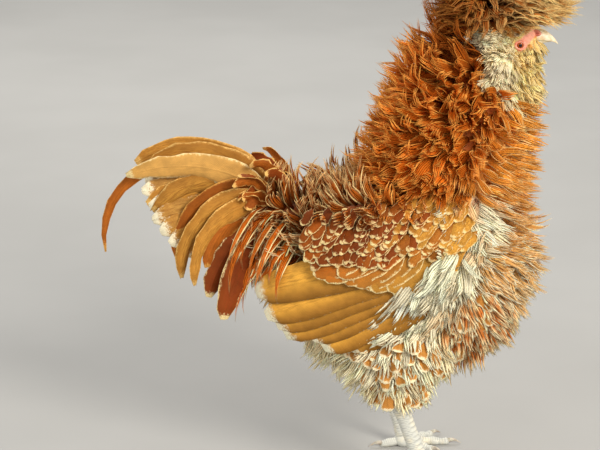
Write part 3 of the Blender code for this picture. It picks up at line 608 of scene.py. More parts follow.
def extruded_form(name, rings, upright):
    """A closed form drawn out ring by ring from a disc. Rings are level if upright, or else face along X."""
    centre, wide, deep = rings[0]
    turn = (0.0, 0.0, 0.0) if upright else (0.0, math.pi / 2, 0.0)
    deselect()
    bpy.ops.mesh.primitive_circle_add(vertices=32, fill_type="NGON", location=centre, rotation=turn)
    made = bpy.context.active_object
    made.name = name
    bpy.ops.object.mode_set(mode="EDIT")

    def stretched(a, b):
        return (a, b, 1.0) if upright else (1.0, a, b)

    bpy.ops.transform.resize(value=stretched(wide, deep), center_override=centre)
    for (here, now_wide, now_deep), (before, was_wide, was_deep) in zip(rings[1:], rings[:-1]):
        step = tuple(h - b for h, b in zip(here, before))
        bpy.ops.mesh.extrude_region_move(TRANSFORM_OT_translate={"value": step})
        grown = stretched(now_wide / was_wide, now_deep / was_deep)
        bpy.ops.transform.resize(value=grown, center_override=here)
    bpy.ops.object.mode_set(mode="OBJECT")
    return faced_outward(made)


def ball(name, centre, size, turn=0.0, segments=32, rings=20):
    deselect()
    bpy.ops.mesh.primitive_uv_sphere_add(segments=segments, ring_count=rings, radius=1.0, location=centre,
                                         scale=size, rotation=(0.0, turn, 0.0))
    made = bpy.context.active_object
    made.name = name
    return made


def mirrored(place, side):
    return (place[0], place[1] * side, place[2])


def skin_parts():
    parts = [
        extruded_form("trunk", trunk_rings(), upright=False),
        extruded_form("neck_form", neck_rings(), upright=True),
        extruded_form("rump_form", rump_rings(), upright=False),
        ball("skull_form", *SKULL),
        ball("face_form", *FACE),
        ball("crown_form", *CROWN),
        ball("beard_form", *BEARD),
    ]
    for side in SIDES.values():
        parts.append(extruded_form("thigh_form", thigh_rings(side), upright=True))
        parts.append(ball("muff_form", mirrored(MUFF[0], side), MUFF[1]))
        for name, ((x, z, out), size) in (("arm_form", ARM), ("shoulder_form", SHOULDER)):
            parts.append(ball(name, tuple(sheet_point(x, z, side, out)), size, WING_TILT))
        parts.append(ball("cheek_form", mirrored(CHEEK[0], side), CHEEK[1]))
        parts.append(ball("brow_form", mirrored(BROW[0], side), BROW[1], BROW_TILT))
    return parts


# Zones: how much of each part of the coat there is at each place, from 0 to 1

def breast_line(z):
    """How far forward the rust of the neck reaches at each height."""
    return 0.1360 - (0.355 - z) * 0.40


def neck_share(z, x):
    """1 on the neck, 0 on the trunk."""
    return past(z, 0.246, 0.03) * past(x, 0.02, 0.03)


def down_share(points):
    """The white down: a band that slants from the shoulder to the thigh."""
    x, z = points[:, 0], points[:, 2]
    share = np.clip(((x - 0.052) * 0.062 + (z - 0.150) * 0.112) / 0.0164, 0.0, 1.0)
    off = np.hypot(x - 0.052 - 0.062 * share, z - 0.150 - 0.112 * share)
    return short_of(off, 0.030, 0.014)


def under_wing(points):
    """1 where the skin lies well under a folded wing."""
    x, y, z = points[:, 0], np.abs(points[:, 1]), points[:, 2]
    bottom = np.maximum(0.246 - 0.75 * (0.118 - x), 0.168)
    inside = past(x, -0.020, 0.012) * short_of(x, 0.114, 0.010)
    return inside * past(y, 0.026, 0.008) * past(z, bottom, 0.008) * short_of(z, 0.270, 0.006)


def is_bare(points):
    """1 on the bare face, which runs from the eye up to the nostril, and 0 under the coat."""
    place = np.abs(points)[:, (0, 2)]
    rear, front = np.array([0.1630, 0.4165]), np.array([0.1790, 0.4305])
    along = np.clip((place - rear) @ (front - rear) / np.sum((front - rear) ** 2), 0.0, 1.0)
    away = np.linalg.norm(place - rear - along[:, None] * (front - rear), axis=1)
    reach = 0.0056 - 0.0016 * along
    return short_of(away, reach, 0.0012)


def zone_beard(points, normals=None):
    """How much of the beard and muffs there is at each point."""
    x, z = points[:, 0], points[:, 2]
    lower = past(z, 0.364, 0.008) * smooth((x - (0.143 + 0.30 * (0.385 - z))) / 0.006)
    lower = lower * (z < 0.4165 + 0.006 * (x > 0.168))
    cheek = past(x, 0.128, 0.008) * past(z, 0.380, 0.008) * short_of(z, 0.4310, 0.002) * (x < 0.168)
    return np.clip(np.maximum(lower, cheek), 0.0, 1.0) * (1.0 - is_bare(points))


def zone_neck(points, normals):
    x, y, z = points.T
    front = smooth((x - breast_line(z)) / 0.010)
    bottom = 0.246 + past(np.abs(y), 0.026, 0.02) * 0.020
    covered = past(z, bottom, 0.010) * past(x, 0.026, 0.014) * (1.0 - front)
    cheek = past(x, 0.126, 0.006) * past(z, 0.404, 0.006)
    return covered * short_of(z, 0.434, 0.006) * (1.0 - cheek) * (zone_beard(points) < 0.5)


def zone_breast(points, normals):
    x, _, z = points.T
    neck = past(z, 0.244, 0.016)
    open_breast = neck * smooth((x - breast_line(z) + 0.002) / 0.010)
    open_breast = open_breast + past(x, 0.096, 0.014) * (1.0 - neck)
    return (open_breast * past(z, 0.120, 0.012) * short_of(z, 0.400, 0.004) * (1.0 - is_bare(points))
            * (zone_beard(points) < 0.5) * (1.0 - under_wing(points)))


def crest_floor(points):
    """The height that the crest's feathers stay above: a fringe that rises over the eye and the beak."""
    x = points[..., 0]
    low = 0.4230 + 0.0050 * past(x, 0.150, 0.010) + 0.0125 * past(x, 0.161, 0.009)
    return low - 0.008 * past(x, 0.196, 0.012) - 0.040 * short_of(x, 0.128, 0.020)


# Markings, shared by the skin and the coat

def markings(points):
    """Root, middle, tip and spot colours of the feather at each point, and how strong its spot is."""
    rust, dark, light = palette("rust", "rust_dark", "rust_light")
    buff, cream, white = palette("buff", "cream", "white")
    x, y, z = points[:, 0], np.abs(points[:, 1]), points[:, 2]
    upper = past(z, 0.20, 0.12)
    looks = [mixed(buff * 0.8, srgb(206, 108, 24), upper),
             mixed(mixed(buff, cream, 0.35), srgb(238, 154, 56), upper),
             mixed(white, mixed(cream, buff, 0.55), upper),
             np.tile(rust, (len(points), 1))]

    def lay(share, root=None, middle=None, tip=None, spot=None):
        """Lays these colours over the ones so far, as far as the share says."""
        for number, colour in enumerate((root, middle, tip, spot)):
            if colour is not None:
                looks[number] = mixed(looks[number], colour, share)

    rusty = neck_share(z, x) * (1.0 - smooth((x - breast_line(z) + 0.004) / 0.014))
    # On the neck the dark roots are partly painted shade in the gaps between the curls, and the light tips
    # are a painted highlight
    lay(rusty, dark * 1.15, rust, light)
    nape = rusty * past(z, 0.380, 0.030) * past(x, 0.100, 0.02)
    lay(nape * 0.85, middle=dark * 1.3)
    lay(nape * 0.8, tip=rust * 0.85)

    back = past(z, 0.225, 0.02) * short_of(x, 0.050, 0.02)
    lay(back, dark, rust * 0.62, mixed(cream, buff, 0.3) * 0.92)

    patch = np.exp(-((x - 0.128) / 0.026) ** 2 - ((z - 0.164) / 0.040) ** 2) * past(y, 0.010, 0.02)
    patch = smooth(patch * 2.2)
    lay(patch, cream * 0.9, cream, spot=srgb(200, 108, 34))

    low = short_of(z, 0.165, 0.02) * short_of(x, 0.112, 0.02)
    lay(low, cream * 0.9, mixed(cream, white, 0.5), white)

    fluff = down_share(points)
    lay(fluff, white, white, white)

    bearded = past(zone_beard(points), 0.4, 0.2)
    lay(bearded, srgb(255, 204, 122), srgb(255, 222, 142), cream)
    muffed = bearded * short_of(x, 0.160, 0.008)
    lay(muffed * 0.9, cream, srgb(255, 240, 204), mixed(cream, white, 0.6))

    crown = past(z, 0.426, 0.006) * past(x, 0.118, 0.008)
    lay(crown, rust * 0.6, srgb(210, 140, 62), srgb(248, 208, 130))
    strength = 0.80 * patch * (1.0 - low) * (1.0 - fluff) * (1.0 - bearded) * (1.0 - crown)
    return *looks, strength


# Places on an unwrap of the skin, for baking

CHARTS = {"trunk": (0.0, 0.0, 0.5, 0.5), "neck": (0.5, 0.0, 0.5, 0.5), "head": (0.0, 0.5, 0.33, 0.5),
          "right_leg": (0.33, 0.5, 0.33, 0.5), "left_leg": (0.66, 0.5, 0.33, 0.5)}


def unwrapped(points):
    """Each point's place on a map of the trunk, neck, head and legs, each opened out round its own axis."""
    x, y, z = points.T
    made = np.zeros((len(points), 2))
    legs = z < 0.128
    head = z > 0.402
    neck = ~head & (z > 0.262) & (x > 0.02)
    trunk = ~(legs | head | neck)
    for name, chosen, angle, share in (
        ("trunk", trunk, np.arctan2(y, z - 0.20), (x + 0.09) / 0.27),
        ("neck", neck, np.arctan2(y, x - 0.105), (z - 0.262) / 0.14),
        ("head", head, np.arctan2(y, x - 0.152), (z - 0.402) / 0.08),
        ("right_leg", legs & (y <= 0.0), np.arctan2(y + 0.045, x - 0.055), (z - 0.03) / 0.10),
        ("left_leg", legs & (y > 0.0), np.arctan2(y - 0.045, x - 0.045), (z - 0.03) / 0.10),
    ):
        left, low, wide, high = CHARTS[name]
        u = left + wide * (0.03 + 0.94 * (angle / (2.0 * math.pi) + 0.5))
        v = low + high * (0.03 + 0.94 * np.clip(share, 0.0, 1.0))
        made[chosen] = np.stack([u, v], axis=1)[chosen]
    return made


# Growing strands

def surface_of(obj):
    """Corners of the object's triangles."""
    mesh = obj.data
    mesh.calc_loop_triangles()
    index = np.empty(len(mesh.loop_triangles) * 3, np.int32)
    mesh.loop_triangles.foreach_get("vertices", index)
    return points_of(obj)[index.reshape(-1, 3)]


def scattered(corners, wanted, spacing, rng):
    """Roots spread evenly over triangles where wanted(points, normals) is above a random share."""
    faces = np.cross(corners[:, 1] - corners[:, 0], corners[:, 2] - corners[:, 0])
    areas = np.linalg.norm(faces, axis=1)
    centres = corners.mean(axis=1)
    allowed = wanted(centres, unit(faces)) > 0.0
    corners, faces, areas = corners[allowed], faces[allowed], areas[allowed]
    tries = int(areas.sum() * 0.5 / spacing ** 2 * 5.0)
    chosen = rng.choice(len(areas), tries, p=areas / areas.sum())
    a, b = np.sort(rng.random((2, tries)), axis=0)
    points = (corners[chosen, 0] * a[:, None] + corners[chosen, 1] * (b - a)[:, None]
              + corners[chosen, 2] * (1.0 - b)[:, None])
    normals = unit(faces[chosen])
    keep = wanted(points, normals) > rng.random(tries)
    points, normals = points[keep], normals[keep]
    cells, kept = {}, []
    keys = np.floor(points / spacing).astype(int)
    near = [(i, j, k) for i in (-1, 0, 1) for j in (-1, 0, 1) for k in (-1, 0, 1)]
    limit = spacing * spacing
    for number, (point, (kx, ky, kz)) in enumerate(zip(points.tolist(), keys.tolist())):
        px, py, pz = point
        clear = True
        for i, j, k in near:
            for qx, qy, qz in cells.get((kx + i, ky + j, kz + k), ()):
                if (px - qx) ** 2 + (py - qy) ** 2 + (pz - qz) ** 2 < limit:
                    clear = False
                    break
            if not clear:
                break
        if clear:
            cells.setdefault((kx, ky, kz), []).append((px, py, pz))
            kept.append(number)
    return points[kept], normals[kept]


def body_lie(points):
    """The way that the coat lies: back on the neck and trunk, forward on the breast and down on the legs."""
    x, _, z = points.T
    lie = mixed((-0.30, 0.0, -1.0), (-1.0, 0.0, 0.10), past(z, 0.225, 0.02))
    front = past(x, 0.100, 0.03) * past(z, 0.12, 0.02)
    lie = mixed(lie, (0.62, 0.0, -0.90), front)
    lie = mixed(lie, (0.92, 0.0, -0.34), front * past(z, 0.20, 0.10))
    lie = mixed(lie, (-0.80, 0.0, -0.55), neck_share(z, x) * (1.0 - smooth((x - breast_line(z)) / 0.010)))
    lie = mixed(lie, (-0.75, 0.0, 0.35), past(z, 0.375, 0.02) * short_of(x, 0.135, 0.01))
    leg = short_of(z, 0.160, 0.03) * short_of(x, 0.110, 0.02)
    rear = short_of(x, 0.055, 0.03)
    return mixed(lie, vectors(0.30 - 0.95 * rear, 0.0, -1.0), leg)


class Feathers:
    """Rows that describe feathers: one row of each array for one feather."""

    def __init__(self, roots, normals, lies, rng):
        lies = unit(lies - normals * np.sum(lies * normals, axis=1, keepdims=True))
        self.roots, self.normals, self.lies, self.rng = roots, normals, lies, rng
        self.count = len(roots)
        self.colours = list(markings(roots))

    def random(self, low, high):
        return low + (high - low) * self.rng.random(self.count)

    def sides(self):
        """-1 for the roots on the right side and 1 for those on the left."""
        return np.sign(self.roots[:, 1] + 1e-6)

    def turned(self, degrees):
        """Turns each feather's lie by up to that much either way."""
        angle = np.radians(self.random(-degrees, degrees))[:, None]
        side = np.cross(self.normals, self.lies)
        self.lies = self.lies * np.cos(angle) + side * np.sin(angle)


def roots_on_skin(wanted, spacing, number):
    """Feathers rooted on the skin where it is wanted, lying as the coat does there."""
    rng = draws(number)
    points, normals = scattered(surface_of(bpy.data.objects["skin"]), wanted, spacing, rng)
    return Feathers(points, normals, body_lie(points), rng)


def centre_lines(feathers, length, start, end, sway, wave, twist, sunk, bend):
    """The curled centre line of each feather with the directions along, across and off it, in fine steps."""
    rng, count = feathers.rng, feathers.count
    normals, lies = feathers.normals[:, None, :], feathers.lies[:, None, :]
    side = np.cross(normals, lies)
    t = ((np.arange(FINE_STEPS) + 0.5) / FINE_STEPS)[None, :]
    begin, finish = np.radians(start)[:, None], np.radians(end)[:, None]
    swing = np.radians(rng.normal(0.0, sway, count))[:, None]
    phase = 2.0 * math.pi * rng.random((count, 1))
    yaw = (swing * t + wave * np.sin(phase + t * 7.0))[..., None]
    angle = (begin + (finish - begin) * t ** bend + wave * np.sin(phase * 1.7 + t * 7.0))[..., None]
    step = (lies * np.cos(yaw) + side * np.sin(yaw)) * np.cos(angle) + normals * np.sin(angle)
    path = np.concatenate([np.zeros((count, 1, 3)), np.cumsum(step, axis=1)], axis=1)
    foot = feathers.roots - feathers.normals * sunk
    path = foot[:, None, :] + path * (length / FINE_STEPS)[:, None, None]
    ahead = unit(np.concatenate([step[:, :1], step[:, 1:] + step[:, :-1], step[:, -1:]], axis=1))
    across = unit(side - ahead * np.sum(side * ahead, axis=2, keepdims=True))
    lift = np.cross(ahead, across)
    roll = np.radians(rng.normal(0.0, twist, count))[:, None] * np.linspace(0.2, 1.0, FINE_STEPS + 1)[None, :]
    roll = roll[..., None]
    return path, across * np.cos(roll) + lift * np.sin(roll), lift * np.cos(roll) - across * np.sin(roll)


def strand_faces(rows):
    """Triangles of a strand of three-sided rings, closed at its root and pointed at its tip."""
    faces = [(0, 1, 2)]
    for r in range(rows - 1):
        for k in range(3):
            a, b = r * 3 + k, r * 3 + (k + 1) % 3
            faces += [(a, a + 3, b + 3), (a, b + 3, b)]
    last = (rows - 1) * 3
    return np.array(faces + [(last + k, rows * 3, last + (k + 1) % 3) for k in range(3)])


def strand_colours(feathers, of, j, v, lace, rim):
    """Colours along each strand: its feather's root, middle, spot and pale edge, in the strand's own tone."""
    root, middle, tip, spot, strength = (rows[of] for rows in feathers.colours)
    made = mixed(root[:, None, :], middle[:, None, :], smooth(v / 0.5))
    from_edge = np.minimum(1.0 - v, (1.0 - np.abs(j)) * 0.5 + 0.30 * (1.0 - smooth(v / 0.4)) + rim)
    spotted = np.exp(-((v - 0.60) / 0.21) ** 2) * (1.0 - 0.75 * j ** 2) * strength[:, None]
    made = mixed(made, spot[:, None, :], np.clip(spotted * 1.4, 0.0, 1.0))
    laced = 1.0 - smooth((from_edge - 0.25 * lace) / (1.3 * lace))
    made = mixed(made, tip[:, None, :], laced * (1.0 - 0.35 * (strength[:, None] > 0.5)))
    feather_tone = 1.0 + feathers.rng.normal(0.0, 0.12, feathers.count)
    tone = feather_tone[of] * (1.0 + feathers.rng.normal(0.0, 0.06, len(of)))
    return np.clip(made * tone[:, None, None], 0.0, 1.0)


def plume_coat(name, feathers, length, width, start, end, strands, fray, point, sway, wave, twist, lace,
               solid, sunk=0.0020, bend=1.0, rim=0.0, nodes=(), floor=None):
    """A coat of feathers. Each is made of narrow strands, side by side along one curled centre line, that
    part beyond the solid share of its length. Angles are in degrees. Lace is how broad its pale edge is, and
    rim how much weaker that edge is at the sides. Floor is the height that the strands stay above."""
    rng, count = feathers.rng, feathers.count
    length, width, start, end = (np.broadcast_to(np.asarray(value, float), (count,))
                                 for value in (length, width, start, end))
    path, across, lift = centre_lines(feathers, length, start, end, sway, wave, twist, sunk, bend)
    rows = STRAND_ROWS
    j = np.tile(np.linspace(-1.0, 1.0, strands), count)[:, None]
    of = np.repeat(np.arange(count), strands)
    total = len(of)
    v = (np.arange(rows + 1) / rows)[None, :]
    reach = (1.0 - 0.22 * j ** 2) * (1.0 + rng.normal(0.0, UNEVEN, (total, 1)))
    at = np.clip(reach * v, 0.0, 0.9999)
    low = np.minimum((at * FINE_STEPS).astype(int), FINE_STEPS - 1)
    part = (at * FINE_STEPS - low)[..., None]

    def followed(rows_of):
        return rows_of[of[:, None], low] * (1.0 - part) + rows_of[of[:, None], low + 1] * part

    centre, aside, up = followed(path), followed(across), followed(lift)
    broad = 0.5 * width[of][:, None] * (0.30 + 0.70 * smooth(at / 0.42))
    broad = broad * (1.0 - point * past(at, 0.45, 0.6))
    stray = rng.normal(0.0, fray, (total, 1)) * v ** 2
    lifted = STRAND_CAMBER * 2.0 * (1.0 - j ** 2) + rng.normal(0.0, fray * 0.6, (total, 1)) * v ** 2
    centre = centre + aside * ((j + stray) * broad)[..., None] + up * (lifted * broad)[..., None]
    if floor is not None:
        sunken = np.minimum(centre[..., 2] - floor(centre), 0.0)
        centre[..., 2] -= sunken * 0.90
    taper = 1.0 - 0.86 * smooth((v - solid) / (1.05 - solid))
    half = (broad / strands * 1.35 * taper)[:, :rows, None]
    keel = np.minimum(half * 0.8, 0.0006)
    body, aside, up = centre[:, :rows], aside[:, :rows], up[:, :rows]
    rings = np.stack([body - aside * half, body + aside * half, body - up * keel], axis=2)
    points = np.concatenate([rings.reshape(total, rows * 3, 3), centre[:, rows:]], axis=1)

    along = np.concatenate([np.repeat(np.arange(rows), 3), [rows]]) / rows
    made = strand_colours(feathers, of, j, along[None, :], lace, rim)
    aside_on_map = np.append(np.tile([-0.5, 0.5, 0.0], rows), 0.0)
    patch = np.stack([aside_on_map, along - 0.5], axis=1) * PATCH_SIZE
    places = unwrapped(feathers.roots)[of][:, None, :] + patch[None, :, :]
    places = places + (j * 0.0002)[:, :, None] * np.array([1.0, 0.0])

    material = bpy.data.materials.get("curled_feathers") or coat_material()
    faces = strand_faces(rows)
    pieces = math.ceil(total / MOST_STRANDS)
    bounds = [round(total * i / pieces) for i in range(pieces + 1)]
    for number, (first, end_of) in enumerate(zip(bounds[:-1], bounds[1:])):
        index = faces[None, :, :] + (np.arange(end_of - first) * len(along))[:, None, None]
        piece = name if pieces == 1 else f"{name}_{number + 1}"
        obj = mesh_object(piece, points[first:end_of].reshape(-1, 3), index.reshape(-1, 3))
        set_point_colour(obj, "Feather", made[first:end_of].reshape(-1, 3))
        set_uv(obj, "OFBake", places[first:end_of].reshape(-1, 2))
        finished(obj, material, nodes if number == 0 else ())


# Broad feathers

def sheet_point(x, z, side, out=0.0):
    """The point of the sheet on a flank at that x and z, moved outwards."""
    half = SHEET_HALF_WIDTH - SHEET_FALL * (x - SHEET_MID_X) ** 2
    reach = SHEET_TOP if z > SHEET_HEIGHT else SHEET_BOTTOM
    share = min(0.98, abs(z - SHEET_HEIGHT) / reach)
    return np.array([x, side * (half * math.sqrt(1.0 - share * share) + out), z])


def sheet_normal(x, z, side):
    step = LOOK_AHEAD
    along = sheet_point(x + step, z, side) - sheet_point(x - step, z, side)
    up = sheet_point(x, z + step, side) - sheet_point(x, z - step, side)
    normal = unit(np.cross(up, along))
    return normal if normal[1] * side > 0 else -normal


class Vane:
    """One broad feather: its centre line with the side and lift at each row, its width, its edge and its
    colours. The under colour is the darker colour of its streaks and of its painted shade. The shade of one
    web, from 0 to 1, is painted shade in the under colour where the next feather overlaps that web."""

    def __init__(self, centres, sides, lifts, width, feather, lace, under, ragged, side_lace, tip_lace,
                 pointed=0.0, camber=0.05, curl=0.0, inner=0.0):
        self.centres, self.sides, self.lifts = np.array(centres), np.array(sides), np.array(lifts)
        self.width, self.pointed, self.camber, self.ragged, self.curl = width, pointed, camber, ragged, curl
        self.side_lace, self.tip_lace, self.inner = side_lace, tip_lace, inner
        self.feather, self.lace, self.under = np.array(feather), np.array(lace), np.array(under)


def vane_profile(v, pointed):
    """Half width along a vane, from 0 at the root to 1 at the tip, as a share of its greatest half width."""
    root = 0.22 + 0.78 * smooth(v / 0.34)
    round_tip = (1.0 - np.clip((v - 0.66) / 0.345, 0.0, 1.0) ** 2.6) ** (1.0 / 2.6)
    sharp_tip = 1.0 - np.clip((v - 0.30) / 0.72, 0.0, 1.0) ** 1.5
    return root * (round_tip * (1.0 - pointed) + sharp_tip * pointed)


def vane_faces(rows, columns):
    """Quads of one vane: its upper side, its under side and the thin wall all round."""
    grid = rows * columns
    quads = []
    for r in range(rows - 1):
        for k in range(columns - 1):
            a = r * columns + k
            quads.append((a, a + 1, a + columns + 1, a + columns))
            quads.append((grid + a, grid + a + columns, grid + a + columns + 1, grid + a + 1))
        near, far = r * columns, (r + 1) * columns - 1
        quads.append((near, near + columns, grid + near + columns, grid + near))
        quads.append((grid + far, grid + far + columns, far + columns, far))
    for k in range(columns - 1):
        a = grid - columns + k
        quads.append((k, grid + k, grid + k + 1, k + 1))
        quads.append((a, a + 1, grid + a + 1, grid + a))
    return np.array(quads)


def vane_points(vane, v, c, thick, rng):
    """The points of a vane's upper and then its under side, and how far on in its barbs each is."""
    v, c = v[:, None], c[None, :]
    half = vane.width * 0.5 * vane_profile(v, vane.pointed)
    fray = 1.0 - vane.ragged * rng.random((len(v), 2)) * past(v, 0.25, 0.4) * 2.0
    share = 1.0 + (np.where(c < 0.0, fray[:, :1], fray[:, 1:]) - 1.0) * np.abs(c) ** 3
    wavy = vane.ragged * 0.5 * np.sin(v * rng.uniform(11.0, 17.0) + rng.uniform(0, 6.3)) * c ** 2
    out = (vane.camber * (1.0 - c ** 2) + wavy) * half * 2.0
    out = out + SHAFT_HEIGHT * (c == 0.0) * (1.0 - 0.8 * v) + vane.curl * v ** 3
    slip = rng.normal(0.0, 0.10 * vane.ragged, share.shape) * vane.width * (v > 0.8)
    ahead = unit(np.gradient(vane.centres, axis=0))[:, None, :]
    lifts = vane.lifts[:, None, :]
    top = vane.centres[:, None, :] + vane.sides[:, None, :] * (half * c * share)[..., None]
    top = top + lifts * out[..., None] + ahead * slip[..., None]
    low = top - lifts * (thick * (1.0 - 0.5 * np.abs(c)))[..., None]
    length = float(np.linalg.norm(np.diff(vane.centres, axis=0), axis=1).sum())
    phase = (v * length - 1.2 * np.abs(c) * half) * 2.0 * math.pi / BARB_SPACING
    return np.concatenate([top.reshape(-1, 3), low.reshape(-1, 3)]), np.tile(phase.ravel(), 2)


def vane_object(name, vanes, columns=7, nodes=(), thick=0.0005):
    """All the vanes, of as many rows each, as one joined mesh. Each is a cambered blade with a raised shaft
    and a frayed edge, closed all round, with an island of its own on the map for baking."""
    rng = np.random.default_rng(sizes().seed + len(vanes))
    rows = len(vanes[0].centres)
    size = 2 * rows * columns
    v, c = np.linspace(0.0, 1.0, rows), np.linspace(-1.0, 1.0, columns)
    uv = np.stack(np.broadcast_arrays((c[None, :] + 1.0) / 2.0, v[:, None]), axis=-1).reshape(-1, 2)
    island = np.concatenate([uv * (0.42, 0.88) + 0.05, uv * (0.42, 0.88) + (0.53, 0.05)])
    cells = math.ceil(math.sqrt(len(vanes)))
    points, bakes, barbs = [], [], []
    looks = {"Feather": [], "Lace": [], "Under": []}
    for number, vane in enumerate(vanes):
        made, phase = vane_points(vane, v, c, thick, rng)
        points.append(made)
        barbs.append(phase)
        bakes.append((np.array([number % cells, number // cells]) + island) / cells)
        tone = 1.0 + rng.normal(0.0, 0.08)
        # The Feather colour's alpha is the strength of the painted shade on one web
        for key, colour, alpha in (("Feather", vane.feather, vane.inner), ("Lace", vane.lace, vane.side_lace),
                                   ("Under", vane.under, LACE_EDGE / vane.tip_lace / TIP_RATE)):
            looks[key].append(np.tile(np.append(np.clip(colour * tone, 0.0, 1.0), alpha), (size, 1)))
    index = vane_faces(rows, columns)[None, :, :] + (np.arange(len(vanes)) * size)[:, None, None]
    obj = faced_outward(mesh_object(name, np.concatenate(points), (), index.reshape(-1, 4)))
    for key, rows_of in looks.items():
        full = np.concatenate(rows_of)
        set_point_colour(obj, key, full[:, :3], full[:, 3])
    set_point_value(obj, "Barb", np.concatenate(barbs))
    set_uv(obj, "Vane", np.tile(uv, (2 * len(vanes), 1)))
    set_uv(obj, "OFBake", np.concatenate(bakes))
    finished(obj, bpy.data.materials.get("broad_feathers") or vane_material(), nodes)


def sheet_vane(x, z, heading, length, width, droop, tier, side, rows=15, tilt=8.0, **looks):
    """A vane on the flank's sheet, from a root at x and z. Heading is in degrees down from straight back."""
    centres, sides, lifts = [], [], []
    steps = 4
    tilt = math.radians(tilt)
    for row in range(rows):
        angle = math.radians(heading + droop * row / (rows - 1))
        normal = sheet_normal(x, z, side)
        here = sheet_point(x, z, side)
        beyond = sheet_point(x - math.cos(angle) * LOOK_AHEAD, z - math.sin(angle) * LOOK_AHEAD, side)
        across = unit(np.cross(unit(beyond - here), normal)) * side
        centres.append(here + normal * tier)
        sides.append(across * math.cos(tilt) + normal * math.sin(tilt))
        lifts.append(unit(normal * math.cos(tilt) - across * math.sin(tilt)))
        for _ in range(steps):
            x -= math.cos(angle) * length / (rows - 1) / steps
            z -= math.sin(angle) * length / (rows - 1) / steps
    return Vane(centres, sides, lifts, width, **looks)


def bent_vane(root, heading, out, length, width, droop, rows=15, late=1.0, tilt=0.0, cup=0.0, twist=0.0,
              **looks):
    """A vane that starts along the heading and bends by droop in its own plane, and by cup towards out. Its
    angles are in radians."""
    heading = unit(np.asarray(heading, float))
    out = np.asarray(out, float)
    out = unit(out - heading * (heading @ out))
    down = np.cross(heading, out)
    centres, sides, lifts = [], [], []
    point = np.array(root, float)
    steps = 6

    def ahead_at(share):
        angle, lean = droop * share ** late, cup * share
        flat = heading * math.cos(angle) + down * math.sin(angle)
        return unit(flat * math.cos(lean) + out * math.sin(lean))

    for row in range(rows):
        share = row / (rows - 1)
        ahead = ahead_at(share)
        across = unit(np.cross(ahead, out))
        face = np.cross(across, ahead)
        roll = tilt + twist * share
        centres.append(point.copy())
        sides.append(across * math.cos(roll) + face * math.sin(roll))
        lifts.append(face * math.cos(roll) - across * math.sin(roll))
        for step in range(steps):
            share = min((row + (step + 0.5) / steps) / (rows - 1), 1.0)
            point = point + ahead_at(share) * length / (rows - 1) / steps
    return Vane(centres, sides, lifts, width, **looks)


# Operators

class CockerelOperator(bpy.types.Operator):
    bl_options = {"REGISTER", "UNDO"}


class COCKEREL_OT_skin(CockerelOperator):
    """One skin for all the flesh, fused from balls and drawn-out rings, in the coat's markings"""
    bl_idname = "cockerel.skin"
    bl_label = "Skin"

    def execute(self, context):
        skin = joined(skin_parts(), "skin")
        remesh = skin.modifiers.new("fuse", "REMESH")
        remesh.mode = "VOXEL"
        remesh.voxel_size = sizes().voxel
        soften = skin.modifiers.new("soften", "SMOOTH")
        soften.factor = 0.5
        soften.iterations = 5
        settled(skin)
        apply_modifiers(skin)
        points = points_of(skin)
        root, middle = markings(points)[:2]
        colour = mixed(root, middle, 0.8) * 0.85
        bare = is_bare(points)
        colour = mixed(colour, colours().face, bare)
        rosy = np.exp(-((points[:, 0] - 0.166) / 0.006) ** 2 - ((points[:, 2] - 0.4165) / 0.006) ** 2) * bare
        colour = mixed(colour, srgb(236, 120, 98), 0.4 * rosy)
        set_point_colour(skin, "Feather", colour)
        finished(skin, skin_material(),
                 ("torso", "neck", "head", "thigh_right", "thigh_left"))
        return {"FINISHED"}


class COCKEREL_OT_eyes(CockerelOperator):
    """The eyes, each with two bare lids"""
    bl_idname = "cockerel.eyes"
    bl_label = "Eyes and lids"

    def execute(self, context):
        eye_look = eye_material()
        lid_look = plain_skin_material("eyelid_skin", srgb(255, 184, 158), srgb(246, 142, 116), 0.5)
        radius = sizes().eye_radius
        for name, side in SIDES.items():
            centre = mirrored(EYE_CENTRE, side)
            eye = ball(f"eyeball_{name}", centre, (radius,) * 3, segments=32, rings=24)
            finished(eye, eye_look, (f"eye_{name}",))
            lids = []
            for major, minor, out in ((radius * 0.90, 0.0011, 0.0026), (radius * 1.18, 0.0010, 0.0012)):
                deselect()
                bpy.ops.mesh.primitive_torus_add(
                    major_segments=40, minor_segments=12, major_radius=major, minor_radius=minor,
                    location=(centre[0], centre[1] + side * out, centre[2]), rotation=(math.pi / 2, 0.0, 0.0))
                ring = bpy.context.active_object
                ring.scale = (1.08, 0.88, 1.0)
                lids.append(ring)
            finished(joined(lids, f"eyelids_{name}"), lid_look)
        return {"FINISHED"}


